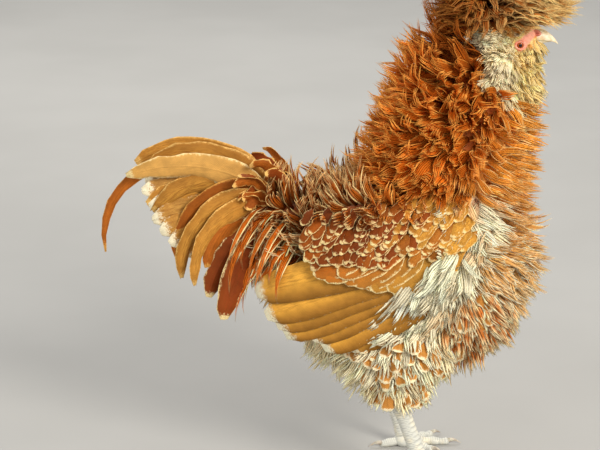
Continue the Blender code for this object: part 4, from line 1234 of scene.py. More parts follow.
class COCKEREL_OT_beak(CockerelOperator):
    """The hooked beak in two halves, with the breed's high nostrils"""
    bl_idname = "cockerel.beak"
    bl_label = "Beak"

    def half_beak(self, name, lower):
        """Half of the beak as a loft of arches from its root to its tip."""
        count, arch = 22, 15
        length = (BEAK_TIP_X - BEAK_ROOT_X) * (0.80 if lower else 1.0)
        way = -1.0 if lower else 1.0
        points = []
        for i in range(count):
            t = min(i / (count - 1), 0.995)
            x = BEAK_ROOT_X + length * t - 0.004 * (1.0 - t) ** 3
            fall = BEAK_HOOK * max(0.0, (x - BEAK_ROOT_X) / (BEAK_TIP_X - BEAK_ROOT_X)) ** 5
            high = LOWER_ROOT_HEIGHT * (1.0 - t ** 1.8) if lower else BEAK_ROOT_HEIGHT * (1.0 - t ** 2.8)
            wide = BEAK_HALF_WIDTH * (0.86 if lower else 1.0) * (1.0 - t ** 1.5)
            for j in range(arch):
                a = math.pi * j / (arch - 1)
                ridge = 1.0 + 0.06 * math.exp(-((a - math.pi / 2) / 0.30) ** 2)
                rise = 0.0002 + high * ridge * math.sin(a)
                points.append((x, wide * math.cos(a), MOUTH_HEIGHT - fall + way * rise))
        root, tip = points[0], points[-arch]
        points.append((root[0], 0.0, MOUTH_HEIGHT + way * 0.003))
        points.append((tip[0] + 0.0001, 0.0, tip[2]))
        return faced_outward(mesh_object(name, points, *tube_faces(count, arch)))

    def execute(self, context):
        horn = horn_material("beak_horn_growth", tuple(colours().horn), srgb(214, 186, 132))
        nostril = plain_skin_material("nostril_skin", srgb(226, 146, 122), srgb(200, 104, 84), 0.4)
        finished(self.half_beak("beak_top", lower=False), horn, ("beak_upper",))
        finished(self.half_beak("beak_bottom", lower=True), horn, ("beak_lower",))
        for name, side in SIDES.items():
            centre = mirrored(NOSTRIL_CENTRE, side)
            rim = ball(f"nostril_{name}", centre, (0.0056, 0.0030, 0.0033), 0.12, 24, 16)
            hole = ball("nostril_hole", (centre[0] + 0.0010, centre[1] + side * 0.0027, centre[2] + 0.0004),
                        (0.0027, 0.0014, 0.0009), 0.2, 16, 10)
            cut = rim.modifiers.new("slit", "BOOLEAN")
            cut.operation = "DIFFERENCE"
            cut.solver = "EXACT"
            cut.object = hole
            apply_modifiers(rim)
            bpy.data.objects.remove(hole, do_unlink=True)
            finished(rim, nostril)
        return {"FINISHED"}


class COCKEREL_OT_legs(CockerelOperator):
    """The scaled shanks and toes, with rows of raised plates in front and small scales behind"""
    bl_idname = "cockerel.legs"
    bl_label = "Legs and feet"

    # Each toe's turn from straight ahead, in degrees outwards, and its length
    TOES = {1: (190.0, 0.023), 2: (-32.0, 0.033), 3: (4.0, 0.045), 4: (38.0, 0.037)}
    PLATE_RISE = 0.00055
    SHANK_RADIUS = 0.0072
    TOE_ROOT_RADIUS = 0.0050
    TOE_TIP_RADIUS = 0.0033

    def scaled_tube(self, name, path, radii, plates, across=0.80, floor=None, around=28):
        """A tube with raised plates in front and smaller scales behind. A toe, which has a floor, has its
        plates on top and is flat below."""
        path = np.array(path)
        count = len(path)
        points, grooves = [], []
        for i in range(count):
            ahead = path[min(i + 1, count - 1)] - path[max(i - 1, 0)]
            if floor is not None:
                ahead[2] = 0.0
            ahead = unit(ahead)
            side = unit(np.cross(ahead, np.array([0.0, 0.0, 1.0])))
            up = np.cross(side, ahead)
            facing = 1.0 if floor is not None or up[0] >= 0.0 else -1.0
            for j in range(around):
                a = 2.0 * math.pi * j / around
                in_front = facing * math.sin(a) >= 0.35
                wrap = 0.0 if in_front else math.floor(3.0 * abs(math.cos(a))) * 0.5
                phase = (i / (count - 1) * (plates if in_front else plates * 1.7) + wrap) % 1.0
                ridge = float(phase ** 0.6 * (1.0 - past(phase, 0.86, 0.14)))
                radius = radii[i] + self.PLATE_RISE * ridge - 0.0003
                point = path[i] + side * (radius * across * math.cos(a)) + up * (radius * math.sin(a))
                if floor is not None:
                    point[2] = max(point[2], floor)
                points.append(point)
                grooves.append(1.0 - min(1.0, ridge * 1.5))
        points += [path[0], path[-1]]
        grooves += [0.0, 0.0]
        obj = mesh_object(name, points, *tube_faces(count, around))
        set_point_value(obj, "Groove", grooves)
        return faced_outward(obj)

    def toe_heading(self, turn, side):
        turn = math.radians(turn)
        return np.array([math.cos(turn), side * math.sin(turn), 0.0])

    def shank(self, name, hock, ankle):
        """The shank, knobbed at the hock and the ankle."""
        path, radii = [], []
        count = 110
        for i in range(count):
            t = -0.12 + 1.12 * i / (count - 1)
            knob = 0.0024 * math.exp(-((t - 0.03) / 0.12) ** 2) + 0.0012 * math.exp(-((t - 1.0) / 0.10) ** 2)
            path.append(hock * (1.0 - t) + ankle * t)
            radii.append(self.SHANK_RADIUS + knob)
        return self.scaled_tube(f"scaled_shank_{name}", path, radii, plates=19)

    def toe(self, number, heading, length, under):
        path, radii = [], []
        count = 60
        joints = 3 if number > 1 else 1.5
        for i in range(count):
            t = i / (count - 1)
            radius = between((self.TOE_ROOT_RADIUS, self.TOE_TIP_RADIUS), t)
            radius += 0.00035 * math.cos(2.0 * math.pi * t * joints)
            if t > 0.94:
                radius *= 1.0 - 0.5 * ((t - 0.94) / 0.06) ** 2
            height = radius * 0.86 + 0.004 * (1 - t) ** 3
            path.append(under + heading * (length * t) + np.array([0.0, 0.0, height]))
            radii.append(radius)
        plates = 4 + length * 330.0
        return self.scaled_tube("toe", path, radii, plates, across=1.05, floor=0.0, around=18)

    def claw(self, name, heading, length, under):
        """A curved horn claw in the place of the solid's claw."""
        across = np.array([-heading[1], heading[0], 0.0])
        end = under + heading * (length - 0.0015)
        rings, around, points = 12, 14, []
        for i in range(rings):
            t = i / (rings - 1)
            height = 0.0034 + 0.0016 * math.sin(math.pi * min(1.0, t * 1.1)) - 0.0024 * t * t
            radius = 0.0025 * (1.0 - 0.93 * t ** 1.2)
            for j in range(around):
                a = 2.0 * math.pi * j / around
                point = end + heading * (0.0138 * t) + across * (radius * 0.8 * math.cos(a))
                point[2] = max(height + radius * math.sin(a), 0.0003)
                points.append(point)
        points += [np.mean(points[:around], axis=0), np.mean(points[-around:], axis=0)]
        return faced_outward(mesh_object(name, points, *tube_faces(rings, around)))

    def execute(self, context):
        look = scale_material()
        horn = horn_material("claw_horn_growth", srgb(206, 198, 180), srgb(150, 138, 120))
        for name, side in SIDES.items():
            hock, ankle = np.array(mirrored(HOCK[side], side)), np.array(mirrored(ANKLE[side], side))
            under = np.array([ankle[0], ankle[1], 0.0])
            finished(self.shank(name, hock, ankle), look, (f"shank_{name}",))
            pad = ball("pad", (under[0] + 0.001, under[1], 0.0066), (0.0100, 0.0090, 0.0082), 0.0, 24, 16)
            settled(pad)
            for point in pad.data.vertices:
                point.co.z = max(point.co.z, 0.0)
            toes = []
            for number, (turn, length) in self.TOES.items():
                heading = self.toe_heading(turn, side)
                toes.append(self.toe(number, heading, length, under))
                claw = self.claw(f"horn_claw_{name}_{number}", heading, length, under)
                finished(claw, horn, (f"claw_{name}_{number}",))
            finished(joined([*toes, pad], f"scaled_foot_{name}"), look, (f"foot_{name}",))
        return {"FINISHED"}


class COCKEREL_OT_neck(CockerelOperator):
    """The ruff of curled rust feathers from the nape to the shoulders"""
    bl_idname = "cockerel.neck"
    bl_label = "Neck ruff"

    def execute(self, context):
        feathers = roots_on_skin(zone_neck, sizes().spacing * 0.84, 1)
        feathers.turned(42.0)
        x, y, z = feathers.roots.T
        back = smooth(0.5 - feathers.normals[:, 0] * 0.7)
        nape = past(z, 0.345, 0.05) * short_of(x, 0.135, 0.015)
        crowned = past(z, 0.392, 0.02) * nape
        longer = 0.86 + 0.26 * back + 0.40 * nape + 0.40 * crowned
        length = sizes().hackle_length * longer * feathers.random(0.80, 1.10)
        width = feathers.random(0.0085, 0.0125)
        flatter = 1.0 - past(np.abs(y), 0.040, 0.02) * 0.30
        start = (feathers.random(12.0, 32.0) + 10.0 * nape) * flatter
        end = (feathers.random(50.0, 165.0) - 15.0 * nape - 50.0 * crowned) * flatter
        plume_coat("neck_ruff", feathers, length, width, start, end, strands=8, fray=0.20, point=0.42,
                   sway=30.0, wave=0.32, twist=34.0, lace=0.20, rim=0.15, solid=0.70)
        return {"FINISHED"}


class COCKEREL_OT_breast(CockerelOperator):
    """The fine, pale, curled feathers of the throat and breast"""
    bl_idname = "cockerel.breast"
    bl_label = "Breast"

    def down(self):
        """The band of soft white down that slants from the shoulder to the thigh, in front of the wing."""
        def wanted(points, normals):
            share = (down_share(points) > 0.35) * (points[:, 2] > 0.166) * (points[:, 0] > 0.060)
            return share * (1.0 - under_wing(points))

        feathers = roots_on_skin(wanted, 0.0044, 13)
        lies = np.tile([-0.62, 0.0, -0.78], (feathers.count, 1))
        feathers = Feathers(feathers.roots, feathers.normals, lies, feathers.rng)
        feathers.turned(16.0)
        length, width = sizes().belly_length * feathers.random(1.05, 1.60), feathers.random(0.0090, 0.0125)
        start, end = feathers.random(20.0, 36.0), feathers.random(2.0, 24.0)
        plume_coat("down_coat", feathers, length, width, start, end, strands=6, fray=0.22, point=0.15,
                   sway=12.0, wave=0.20, twist=12.0, sunk=0.0004, lace=0.10, solid=0.74)

    def execute(self, context):
        feathers = roots_on_skin(zone_breast, sizes().spacing * 0.96, 2)
        feathers.turned(20.0)
        z = feathers.roots[:, 2]
        low, hem = short_of(z, 0.265, 0.09), short_of(z, 0.160, 0.03)
        middle_blue = feathers.colours[1][:, 2]
        downy = past(middle_blue, 0.40, 0.2)
        length = sizes().breast_length * feathers.random(0.80, 1.12) * (1.0 + 0.20 * hem)
        width = feathers.random(0.0048, 0.0068) + 0.0048 * low + 0.002 * downy
        start = feathers.random(22.0, 38.0) - 12.0 * low - 12.0 * downy
        end = feathers.random(66.0, 116.0) - 50.0 * low - 30.0 * downy
        plume_coat("breast_coat", feathers, length, width, start, end, strands=6, fray=0.34, point=0.30,
                   sway=12.0, wave=0.20, twist=14.0, lace=0.15, rim=0.05, solid=0.66)
        self.down()
        return {"FINISHED"}


class COCKEREL_OT_back(CockerelOperator):
    """The curled feathers that stand up from the back"""
    bl_idname = "cockerel.back"
    bl_label = "Back"

    def execute(self, context):
        def wanted(points, normals):
            x, _, z = points.T
            return (past(z, 0.224, 0.012) * short_of(x, 0.050, 0.014) * past(x, -0.066, 0.01)
                    * (1.0 - under_wing(points)))

        feathers = roots_on_skin(wanted, sizes().spacing * 0.92, 3)
        feathers.turned(30.0)
        length, width = sizes().back_length * feathers.random(0.70, 1.06), feathers.random(0.0080, 0.0110)
        start, end = feathers.random(40.0, 60.0), feathers.random(80.0, 120.0)
        plume_coat("back_coat", feathers, length, width, start, end, strands=6, fray=0.30, point=0.30,
                   sway=14.0, wave=0.16, twist=24.0, lace=0.19, rim=0.05, solid=0.70)
        return {"FINISHED"}


class COCKEREL_OT_belly(CockerelOperator):
    """The soft down of the belly, flanks and thighs, with round, spotted, pale-edged feathers over it"""
    bl_idname = "cockerel.belly"
    bl_label = "Belly and thighs"

    def spotted(self):
        """Rows of short, round feathers that hang from the belly, stern and thighs."""
        def wanted(points, normals):
            x, y, z = points.T
            top = 0.170 - 0.35 * np.abs(x - 0.050)
            low = short_of(z, top, 0.006) * past(z, 0.102, 0.004) * (x < 0.112)
            patch = ((x - 0.128) / 0.022) ** 2 + ((z - 0.166) / 0.042) ** 2 < 1.0
            return np.maximum(low, patch) * (np.abs(y) > 0.010) * (1.0 - under_wing(points))

        feathers = roots_on_skin(wanted, 0.0068, 12)
        feathers.turned(16.0)
        cream, white, spot = palette("cream", "white", "spot")
        pale, dark = mixed(cream, white, 0.7), srgb(166, 98, 34)
        rng = feathers.rng
        vanes = []
        for root, normal, lie in zip(feathers.roots, feathers.normals, feathers.lies):
            hem = float(short_of(root[2], 0.132, 0.03))
            patched = float(root[0] > 0.112)
            rise = math.radians(rng.uniform(14.0, 24.0) + 24.0 * hem)
            heading = lie * math.cos(rise) + normal * math.sin(rise)
            length, width = rng.uniform(0.021, 0.027), rng.uniform(0.0135, 0.0175) * (1.0 - 0.25 * patched)
            vanes.append(bent_vane(
                root + normal * 0.001, heading, np.cross(heading, np.cross(normal, heading)), length, width,
                rng.normal(0.0, 0.20), rows=9, cup=math.radians(rng.uniform(-10.0, 16.0) - 14.0 * patched),
                twist=rng.normal(0.0, 0.30), feather=spot * rng.uniform(0.75, 1.15),
                under=mixed(spot, dark, 0.6 + 0.4 * patched), lace=pale, ragged=0.16, camber=0.06,
                side_lace=0.95, tip_lace=0.15))
        vane_object("spotted_feathers", vanes, thick=0.0004)

    def execute(self, context):
        def wanted(points, normals):
            x, _, z = points.T
            low_front = past(x, 0.096, 0.014) * past(z, 0.120, 0.012)
            return (short_of(z, 0.232, 0.012) * (1.0 - low_front) * past(z, 0.0980, 0.004)
                    * (1.0 - under_wing(points)))

        feathers = roots_on_skin(wanted, sizes().spacing * 1.02, 4)
        feathers.turned(22.0)
        x, z = feathers.roots[:, 0], feathers.roots[:, 2]
        hock = short_of(z, 0.126, 0.024)
        rear = short_of(x, 0.050, 0.03) * short_of(z, 0.165, 0.02)
        longer = 1.0 + 0.45 * rear * (1.0 - 0.6 * hock) - 0.10 * hock
        length = sizes().belly_length * feathers.random(0.85, 1.15) * longer
        width = feathers.random(0.0080, 0.0115)
        start = feathers.random(14.0, 26.0) + 44.0 * hock + 14.0 * rear
        end = feathers.random(30.0, 60.0) + 10.0 * rear
        plume_coat("belly_coat", feathers, length, width, start, end, strands=6, fray=0.50, point=0.15,
                   sway=12.0, wave=0.20, twist=16.0, lace=0.17, solid=0.60)
        self.spotted()
        return {"FINISHED"}


class COCKEREL_OT_saddle(CockerelOperator):
    """The long, narrow, curling feathers that hang from the saddle over the tail's root and flanks"""
    bl_idname = "cockerel.saddle"
    bl_label = "Saddle"

    def execute(self, context):
        def wanted(points, normals):
            x, _, z = points.T
            return (short_of(x, -0.018, 0.008) * past(z, 0.222, 0.01) * past(x, -0.068, 0.006)
                    * (normals[:, 2] < 0.75))

        feathers = roots_on_skin(wanted, sizes().spacing * 0.82, 5)
        upwards = np.tile([0.0, 0.0, 1.0], (feathers.count, 1))
        lies = vectors(-0.90, 0.40 * feathers.sides(), 0.05)
        feathers = Feathers(feathers.roots, upwards, lies, feathers.rng)
        feathers.turned(28.0)
        own = palette("rust_dark", "rust", "cream", "rust")
        feathers.colours = [np.tile(colour, (feathers.count, 1)) for colour in own]
        feathers.colours.append(np.zeros(feathers.count))
        length, width = sizes().saddle_length * feathers.random(0.35, 1.10), feathers.random(0.0062, 0.0090)
        start, end = feathers.random(4.0, 40.0), feathers.random(-122.0, -86.0)
        plume_coat("saddle_coat", feathers, length, width, start, end, strands=5, fray=0.12, point=0.72,
                   sway=8.0, wave=0.10, twist=20.0, lace=0.12, bend=0.8, solid=0.75)
        return {"FINISHED"}


class COCKEREL_OT_crest(CockerelOperator):
    """The round crest of long curly feathers that sweep forward over the crown and fall at its back"""
    bl_idname = "cockerel.crest"
    bl_label = "Crest"

    def under_layer(self):
        """Shorter feathers on the crown that close the crest's lower side and fringe the head."""
        def wanted(points, normals):
            z = points[:, 2]
            low = crest_floor(points) + 0.001
            return past(z, low, 0.003) * short_of(z, 0.458, 0.006) * (1.0 - is_bare(points))

        feathers = roots_on_skin(wanted, 0.0040, 10)
        forward = 2.0 * past(feathers.roots[:, 0], 0.126, 0.02) - 1.0
        lies = vectors(forward * 0.95, 0.0, -0.30)
        feathers = Feathers(feathers.roots, feathers.normals, lies, feathers.rng)
        feathers.turned(24.0)
        length = sizes().crest_length * 0.48 * feathers.random(0.70, 1.10)
        width = feathers.random(0.0040, 0.0060)
        start, end = feathers.random(12.0, 30.0), feathers.random(-14.0, 30.0)
        plume_coat("crest_under", feathers, length, width, start, end, strands=5, fray=0.34, point=0.45,
                   sway=12.0, wave=0.26, twist=16.0, lace=0.20, solid=0.60, floor=crest_floor)

    def execute(self, context):
        rng = draws(6)
        count = 780
        share = (np.arange(count) + 0.5) / count
        polar = np.arccos(1.0 - share * 1.46)
        turn = np.arange(count) * GOLDEN_ANGLE + rng.normal(0.0, 0.2, count)
        turn = (turn + math.pi) % (2.0 * math.pi) - math.pi
        away = vectors(np.sin(polar) * np.cos(turn), np.sin(polar) * np.sin(turn), np.cos(polar))
        roots = CREST_CENTRE + away * np.array([0.0210, 0.0215, 0.0165])
        forward = smooth((2.35 - np.abs(turn) + rng.normal(0.0, 0.22, count)) / 0.4)
        heading = np.sign(turn) * (math.pi + (0.36 * np.abs(turn) - math.pi) * forward
                                   - 0.75 * (math.pi - np.abs(turn)) * (1.0 - forward))
        heading = heading + rng.normal(0.0, 0.16, count)
        lies = vectors(np.cos(heading), np.sin(heading), 0.0)
        feathers = Feathers(roots, np.tile([0.0, 0.0, 1.0], (count, 1)), lies, rng)
        rust, dark = palette("rust", "rust_dark")
        tan, pale = np.array(srgb(206, 136, 60)), srgb(252, 218, 146)
        forward = forward * past(roots[:, 0], 0.126, 0.02)
        feathers.colours[:3] = [mixed(behind, ahead, forward) for behind, ahead in
                                ((dark * 0.9, rust * 0.6), (dark * 1.8, tan), (tan * 0.8, pale))]
        low = smooth(share)
        ahead = past(roots[:, 0], 0.150, 0.02)
        length = sizes().crest_length * feathers.random(0.80, 1.08)
        length = length * (1.0 - 0.08 * low) * (1.0 - 0.10 * ahead)
        width = feathers.random(0.0058, 0.0092)
        start = 72.0 - 60.0 * low + feathers.random(-10.0, 10.0)
        end = -12.0 - 4.0 * low + 12.0 * ahead + feathers.random(-26.0, 18.0)
        plume_coat("crest_coat", feathers, length, width, start, end, strands=7, fray=0.26, point=0.50,
                   sway=12.0, wave=0.36, twist=20.0, sunk=0.0035, lace=0.24, solid=0.66, nodes=("crest",),
                   floor=crest_floor)
        self.under_layer()
        return {"FINISHED"}


class COCKEREL_OT_beard(CockerelOperator):
    """The soft pale beard under the beak and the muffs on the cheeks"""
    bl_idname = "cockerel.beard"
    bl_label = "Beard and muffs"

    def piece(self, feathers, name, lies, chosen, long, broad, nodes):
        """One coat of the chosen feathers, short next to the eye."""
        upward = past(feathers.normals[:, 2], 0.2, 0.4)
        outward = vectors(lies[:, 0], feathers.sides(), -0.3)
        level = unit(mixed(feathers.normals * np.array([1.0, 1.0, 0.25]), feathers.normals, upward))
        lies = mixed(lies, outward, upward * (feathers.roots[:, 2] < 0.4170))
        part = Feathers(feathers.roots[chosen], level[chosen], lies[chosen], feathers.rng)
        part.turned(18.0)
        near_eye = np.linalg.norm((np.abs(part.roots) - EYE_CENTRE)[:, (0, 2)], axis=1)
        short = 0.22 + 0.78 * past(near_eye, 0.006, 0.012)
        length = sizes().beard_length * long * part.random(0.80, 1.14) * short
        width = part.random(1.0, 1.35) * broad
        start, end = part.random(14.0, 26.0), part.random(14.0, 56.0) * short
        plume_coat(name, part, length, width, start, end, strands=6, fray=0.24, point=0.10, sway=12.0,
                   wave=0.20, twist=12.0, sunk=0.0005, lace=0.20, solid=0.74, nodes=nodes)

    def execute(self, context):
        feathers = roots_on_skin(zone_beard, 0.0028, 7)
        x, _, z = feathers.roots.T
        muff = short_of(x, 0.161, 0.012)
        high = muff * past(z, 0.410, 0.008)
        lies = vectors(0.50 - 1.10 * muff - 1.4 * high, 0.08 * feathers.sides(), -1.0 + 0.5 * high)
        over = past(z, 0.4170, 0.003) * (x < 0.170)
        lies = mixed(lies, (-1.0, 0.0, 0.15), over)
        chosen = muff > 0.5
        self.piece(feathers, "muff_coat", lies, chosen, 0.72, 0.0056, ("muff_right", "muff_left"))
        self.piece(feathers, "beard_coat", lies, ~chosen, 1.08, 0.0044, ("beard",))
        return {"FINISHED"}


class COCKEREL_OT_wings(CockerelOperator):
    """The folded wings: flights, secondaries and rows of coverts, each feather a laced vane"""
    bl_idname = "cockerel.wings"
    bl_label = "Wings"

    def row(self, count, side, x, z, heading, length, width, droop, tier, rng, shades, loose=0.0, **looks):
        """A row of vanes. x, z, heading and length are each a pair: at the foremost vane and at the rearmost.
        The shades are colours from the foremost to the rearmost. Loose is how far roots stray, in metres."""
        astray, turning = 1.7 * loose, 3000.0 * loose
        made = []
        for i in range(count):
            t = i / (count - 1)
            varied = 1.0 + rng.normal(0.0, 0.04 + 5.0 * loose)
            place = t * (len(shades) - 1) + rng.normal(0.0, 0.20 + 200.0 * loose)
            place = min(max(place, 0.0), len(shades) - 1.001)
            feather = mixed(shades[int(place)], shades[int(place) + 1], place % 1.0)
            made.append(sheet_vane(
                between(x, t) + rng.uniform(-astray, astray), between(z, t) + rng.uniform(-astray, astray),
                between(heading, t) + rng.normal(0.0, 1.2 + turning), between(length, t ** 0.75) * varied,
                width * (1.0 + rng.normal(0.0, 0.04)), droop + rng.normal(0.0, 2.0 + turning),
                tier + 0.0002 * (i % 2), side, feather=feather, **looks))
        return made

    def coverts(self, side, rng):
        """Rows of small loose feathers over the arm, cream at their tips."""
        gold, rust, dark, cream, buff = palette("gold", "rust", "rust_dark", "cream", "buff")
        shades = [gold, gold * 0.9, rust * 0.4 + gold * 0.3, dark * 1.5, dark * 1.1, dark * 1.1, rust * 0.5]
        vanes = []
        tiers = 10
        for tier in range(tiers):
            t = tier / (tiers - 1)
            shift = 0.0045 * (tier % 2)
            vanes += self.row(
                14, side, x=(0.1240 - 0.014 * t - shift, -0.006 - 0.012 * t - shift),
                z=(0.2520 + 0.030 * t, 0.2470 + 0.018 * t), heading=(42, 54),
                length=(0.020 - 0.003 * t, 0.025 - 0.009 * t), width=0.0125 - 0.002 * t, droop=12,
                tier=0.0076 + 0.0006 * tier, rng=rng, shades=shades, loose=0.0028, rows=8, tilt=12.0,
                lace=mixed(cream, buff, 0.15), under=dark, ragged=0.14, curl=0.0016, camber=0.09,
                side_lace=0.55, tip_lace=0.15, pointed=0.12)
        return vanes

    def large_feathers(self, side, rng):
        """The flights, the short ones in front of them, the secondaries and the row over those."""
        gold, rust, dark, cream, white = palette("gold", "rust", "rust_dark", "cream", "white")
        # Olive is the under colour of the flights and secondaries: painted shade where they overlap, on one
        # web, inside the lace and towards the root, and their streaks
        olive = srgb(152, 102, 38)
        flights = self.row(
            7, side, x=(0.0967, 0.0847), z=(0.214, 0.240), heading=(34, 16), length=(0.104, 0.179),
            width=0.0350, droop=7, tier=0.0010, rng=rng, shades=[gold * 1.3, gold * 1.15], lace=white,
            under=mixed(gold, olive, 0.9), ragged=0.03, curl=0.003, side_lace=0.10, tip_lace=0.06, inner=1.0,
            camber=0.025)
        short = self.row(
            4, side, x=(0.1127, 0.1067), z=(0.240, 0.248), heading=(52, 42), length=(0.066, 0.068),
            width=0.0150, droop=-16, tier=0.0040, rng=rng, shades=[gold * 1.1, gold], lace=cream, under=olive,
            ragged=0.05, curl=0.002, side_lace=0.40, tip_lace=0.07)
        shades = [gold * 0.9, gold * 0.75, rust * 0.3 + gold * 0.42, rust * 0.6 + gold * 0.15, rust * 0.55]
        secondaries = self.row(
            10, side, x=(0.1057, 0.0240), z=(0.246, 0.240), heading=(58, 42), length=(0.071, 0.050),
            width=0.0200, droop=-36, tier=0.0045, rng=rng, shades=shades, lace=cream, under=olive,
            ragged=0.08, curl=0.003, side_lace=0.62, tip_lace=0.05, camber=0.03, tilt=11.0, inner=0.5)
        over = self.row(
            7, side, x=(0.0600, 0.0040), z=(0.250, 0.245), heading=(48, 26), length=(0.032, 0.036),
            width=0.0190, droop=-14, tier=0.0064, rng=rng, shades=[rust * 0.6, dark * 1.6, dark * 1.4],
            lace=cream, under=dark, ragged=0.06, curl=0.003, side_lace=0.75, tip_lace=0.07, tilt=10.0)
        return flights + short + secondaries + over

    def execute(self, context):
        for name, side in SIDES.items():
            rng = draws(8)
            vanes = self.large_feathers(side, rng)
            vane_object(f"wing_feathers_{name}", vanes, nodes=(f"wing_{name}",))
            vane_object(f"wing_coverts_{name}", self.coverts(side, rng), columns=5)
        return {"FINISHED"}


class COCKEREL_OT_tail(CockerelOperator):
    """The tail: main vanes in an upright fan, bent sickles and broad curled coverts"""
    bl_idname = "cockerel.tail"
    bl_label = "Tail"

    # Side, length, width, rise and droop in degrees, how late it bends, how far out it is, tone, pointed
    SICKLES = (
        (RIGHT, 0.231, 0.0170, 49.0, 150.0, 1.23, 0.02, "orange", 0.70),
        (RIGHT, 0.150, 0.0310, 45.0, 66.0, 1.0, 0.14, "buff", 0.45),
        (LEFT, 0.150, 0.0290, 51.0, 86.0, 1.3, 0.06, "gold", 0.35),
        (RIGHT, 0.137, 0.0280, 51.0, 86.0, 1.47, 0.04, "gold", 0.40),
        (RIGHT, 0.129, 0.0280, 39.0, 92.0, 1.14, 0.10, "gold", 0.35),
        (RIGHT, 0.126, 0.0300, 28.0, 60.0, 1.10, 0.08, "gold", 0.30),
        (RIGHT, 0.153, 0.0220, 50.0, 163.0, 0.88, 0.20, "orange", 0.60),
        (RIGHT, 0.140, 0.0230, 30.0, 128.0, 0.90, 0.24, "gold", 0.55),
        (RIGHT, 0.128, 0.0220, 14.0, 111.0, 0.95, 0.30, "gold", 0.65),
        (RIGHT, 0.098, 0.0240, 3.0, 84.0, 0.92, 0.26, "orange", 0.45),
        (RIGHT, 0.079, 0.0260, -15.0, 55.0, 0.93, 0.20, "gold", 0.20),
        (LEFT, 0.153, 0.0220, 46.0, 150.0, 0.90, 0.22, "orange", 0.60),
        (LEFT, 0.134, 0.0270, 30.0, 100.0, 1.0, 0.24, "gold", 0.4),
        (LEFT, 0.124, 0.0240, 14.0, 105.0, 1.0, 0.30, "orange", 0.6),
        (LEFT, 0.100, 0.0240, 2.0, 86.0, 1.0, 0.30, "gold", 0.4),
        (RIGHT, 0.112, 0.0240, -38.0, 40.0, 1.6, 0.24, "rust", 0.1),
        (RIGHT, 0.121, 0.0280, -56.0, 26.0, 2.1, 0.34, "rust", 0.1),
        (LEFT, 0.118, 0.0280, -50.0, 30.0, 1.6, 0.30, "rust", 0.1),
    )

    def fan(self, rng, tones):
        """The main vanes, with only their tips pale. A tone is a feather's own colour and its edge's."""
        vanes = []
        for side in SIDES.values():
            count = 7
            for i in range(count):
                t = i / (count - 1)
                rise = math.radians(27 - 35 * t)
                root = TAIL_ROOT + np.array([0.004 * t, side * (0.0020 + 0.0008 * i), 0.003 - 0.012 * t])
                heading = (-math.cos(rise), side * (0.02 + 0.07 * t), math.sin(rise))
                feather = mixed(tones["buff"][0], tones["gold"][0], t) * rng.uniform(0.86, 1.0)
                length = (0.126 - 0.026 * t) * rng.uniform(0.95, 1.04)
                vanes.append(bent_vane(root, heading, (0.0, side, 0.12), length, 0.0270,
                                       side * math.radians(30 - 4 * t), tilt=math.radians(-8) * side,
                                       cup=math.radians(2 + 2 * t), feather=feather, under=tones["brown"][0],
                                       lace=tones["white"][0], ragged=0.12, side_lace=0.25, tip_lace=0.10))
        return vanes

    def curled(self, rng, tones):
        """Broad, short, twisted feathers that stand up and curl over round the tail's root."""
        vanes = []
        for i in range(26):
            side = RIGHT if i % 2 else LEFT
            t = i / 25
            angle = math.radians(96.0 - 76.0 * t + rng.normal(0.0, 9.0))
            root = TAIL_ROOT + np.array([0.014 - 0.022 * t + rng.normal(0.0, 0.003),
                                         side * (0.003 + 0.008 * math.sin(math.pi * t)), 0.008 - 0.010 * t])
            feather = mixed(tones["rust"][0], tones["orange"][0], rng.random())
            heading = (-math.cos(angle), side * rng.uniform(0.05, 0.30), math.sin(angle))
            length, width = rng.uniform(0.036, 0.062) * (1.0 - 0.25 * t), rng.uniform(0.011, 0.017)
            droop = side * math.radians(110.0 + rng.normal(0.0, 40.0))
            vanes.append(bent_vane(
                root, heading, (0.0, side, 0.2), length, width, droop, late=1.8, tilt=rng.normal(0.0, 0.5),
                cup=rng.normal(0.3, 0.4), twist=rng.normal(0.0, 1.1), feather=feather,
                under=tones["brown"][0], lace=tones["gold"][1], ragged=0.24, camber=0.10, side_lace=0.75,
                tip_lace=0.09))
        return vanes

    def execute(self, context):
        rng = draws(9)
        cream, white = palette("cream", "white")
        tones = {
            "buff": (np.array(srgb(218, 164, 86)), cream),
            "gold": (np.array(srgb(202, 144, 60)), srgb(238, 190, 110)),
            "orange": (np.array(srgb(182, 100, 30)), srgb(230, 168, 82)),
            "rust": (np.array(srgb(132, 56, 16)), cream),
            "brown": (np.array(srgb(122, 62, 16)), cream),
            "white": (white, white),
        }
        vanes = self.fan(rng, tones)
        for side, length, width, rise, droop, late, sideways, tone, pointed in self.SICKLES:
            angle = math.radians(rise)
            feather, lace = tones[tone]
            root = TAIL_ROOT + np.array([0.004, side * (0.002 + 0.02 * sideways), 0.004])
            under = feather * 0.75 if tone == "buff" else tones["brown"][0]
            heading = (-math.cos(angle), side * sideways, math.sin(angle))
            # One web of each sickle is darkened in its under colour as painted shade where the next one
            # overlaps
            vanes.append(bent_vane(root, heading, (0.0, side, 0.1), length, width,
                                   side * math.radians(droop), late=late, tilt=math.radians(-6) * side,
                                   cup=math.radians(-4), feather=feather, under=under, lace=lace,
                                   pointed=pointed, ragged=0.14, camber=0.07, side_lace=0.55, tip_lace=0.05,
                                   inner=0.45))
        vanes += self.curled(rng, tones)
        vane_object("tail_feathers", vanes, nodes=("tail",))
        return {"FINISHED"}


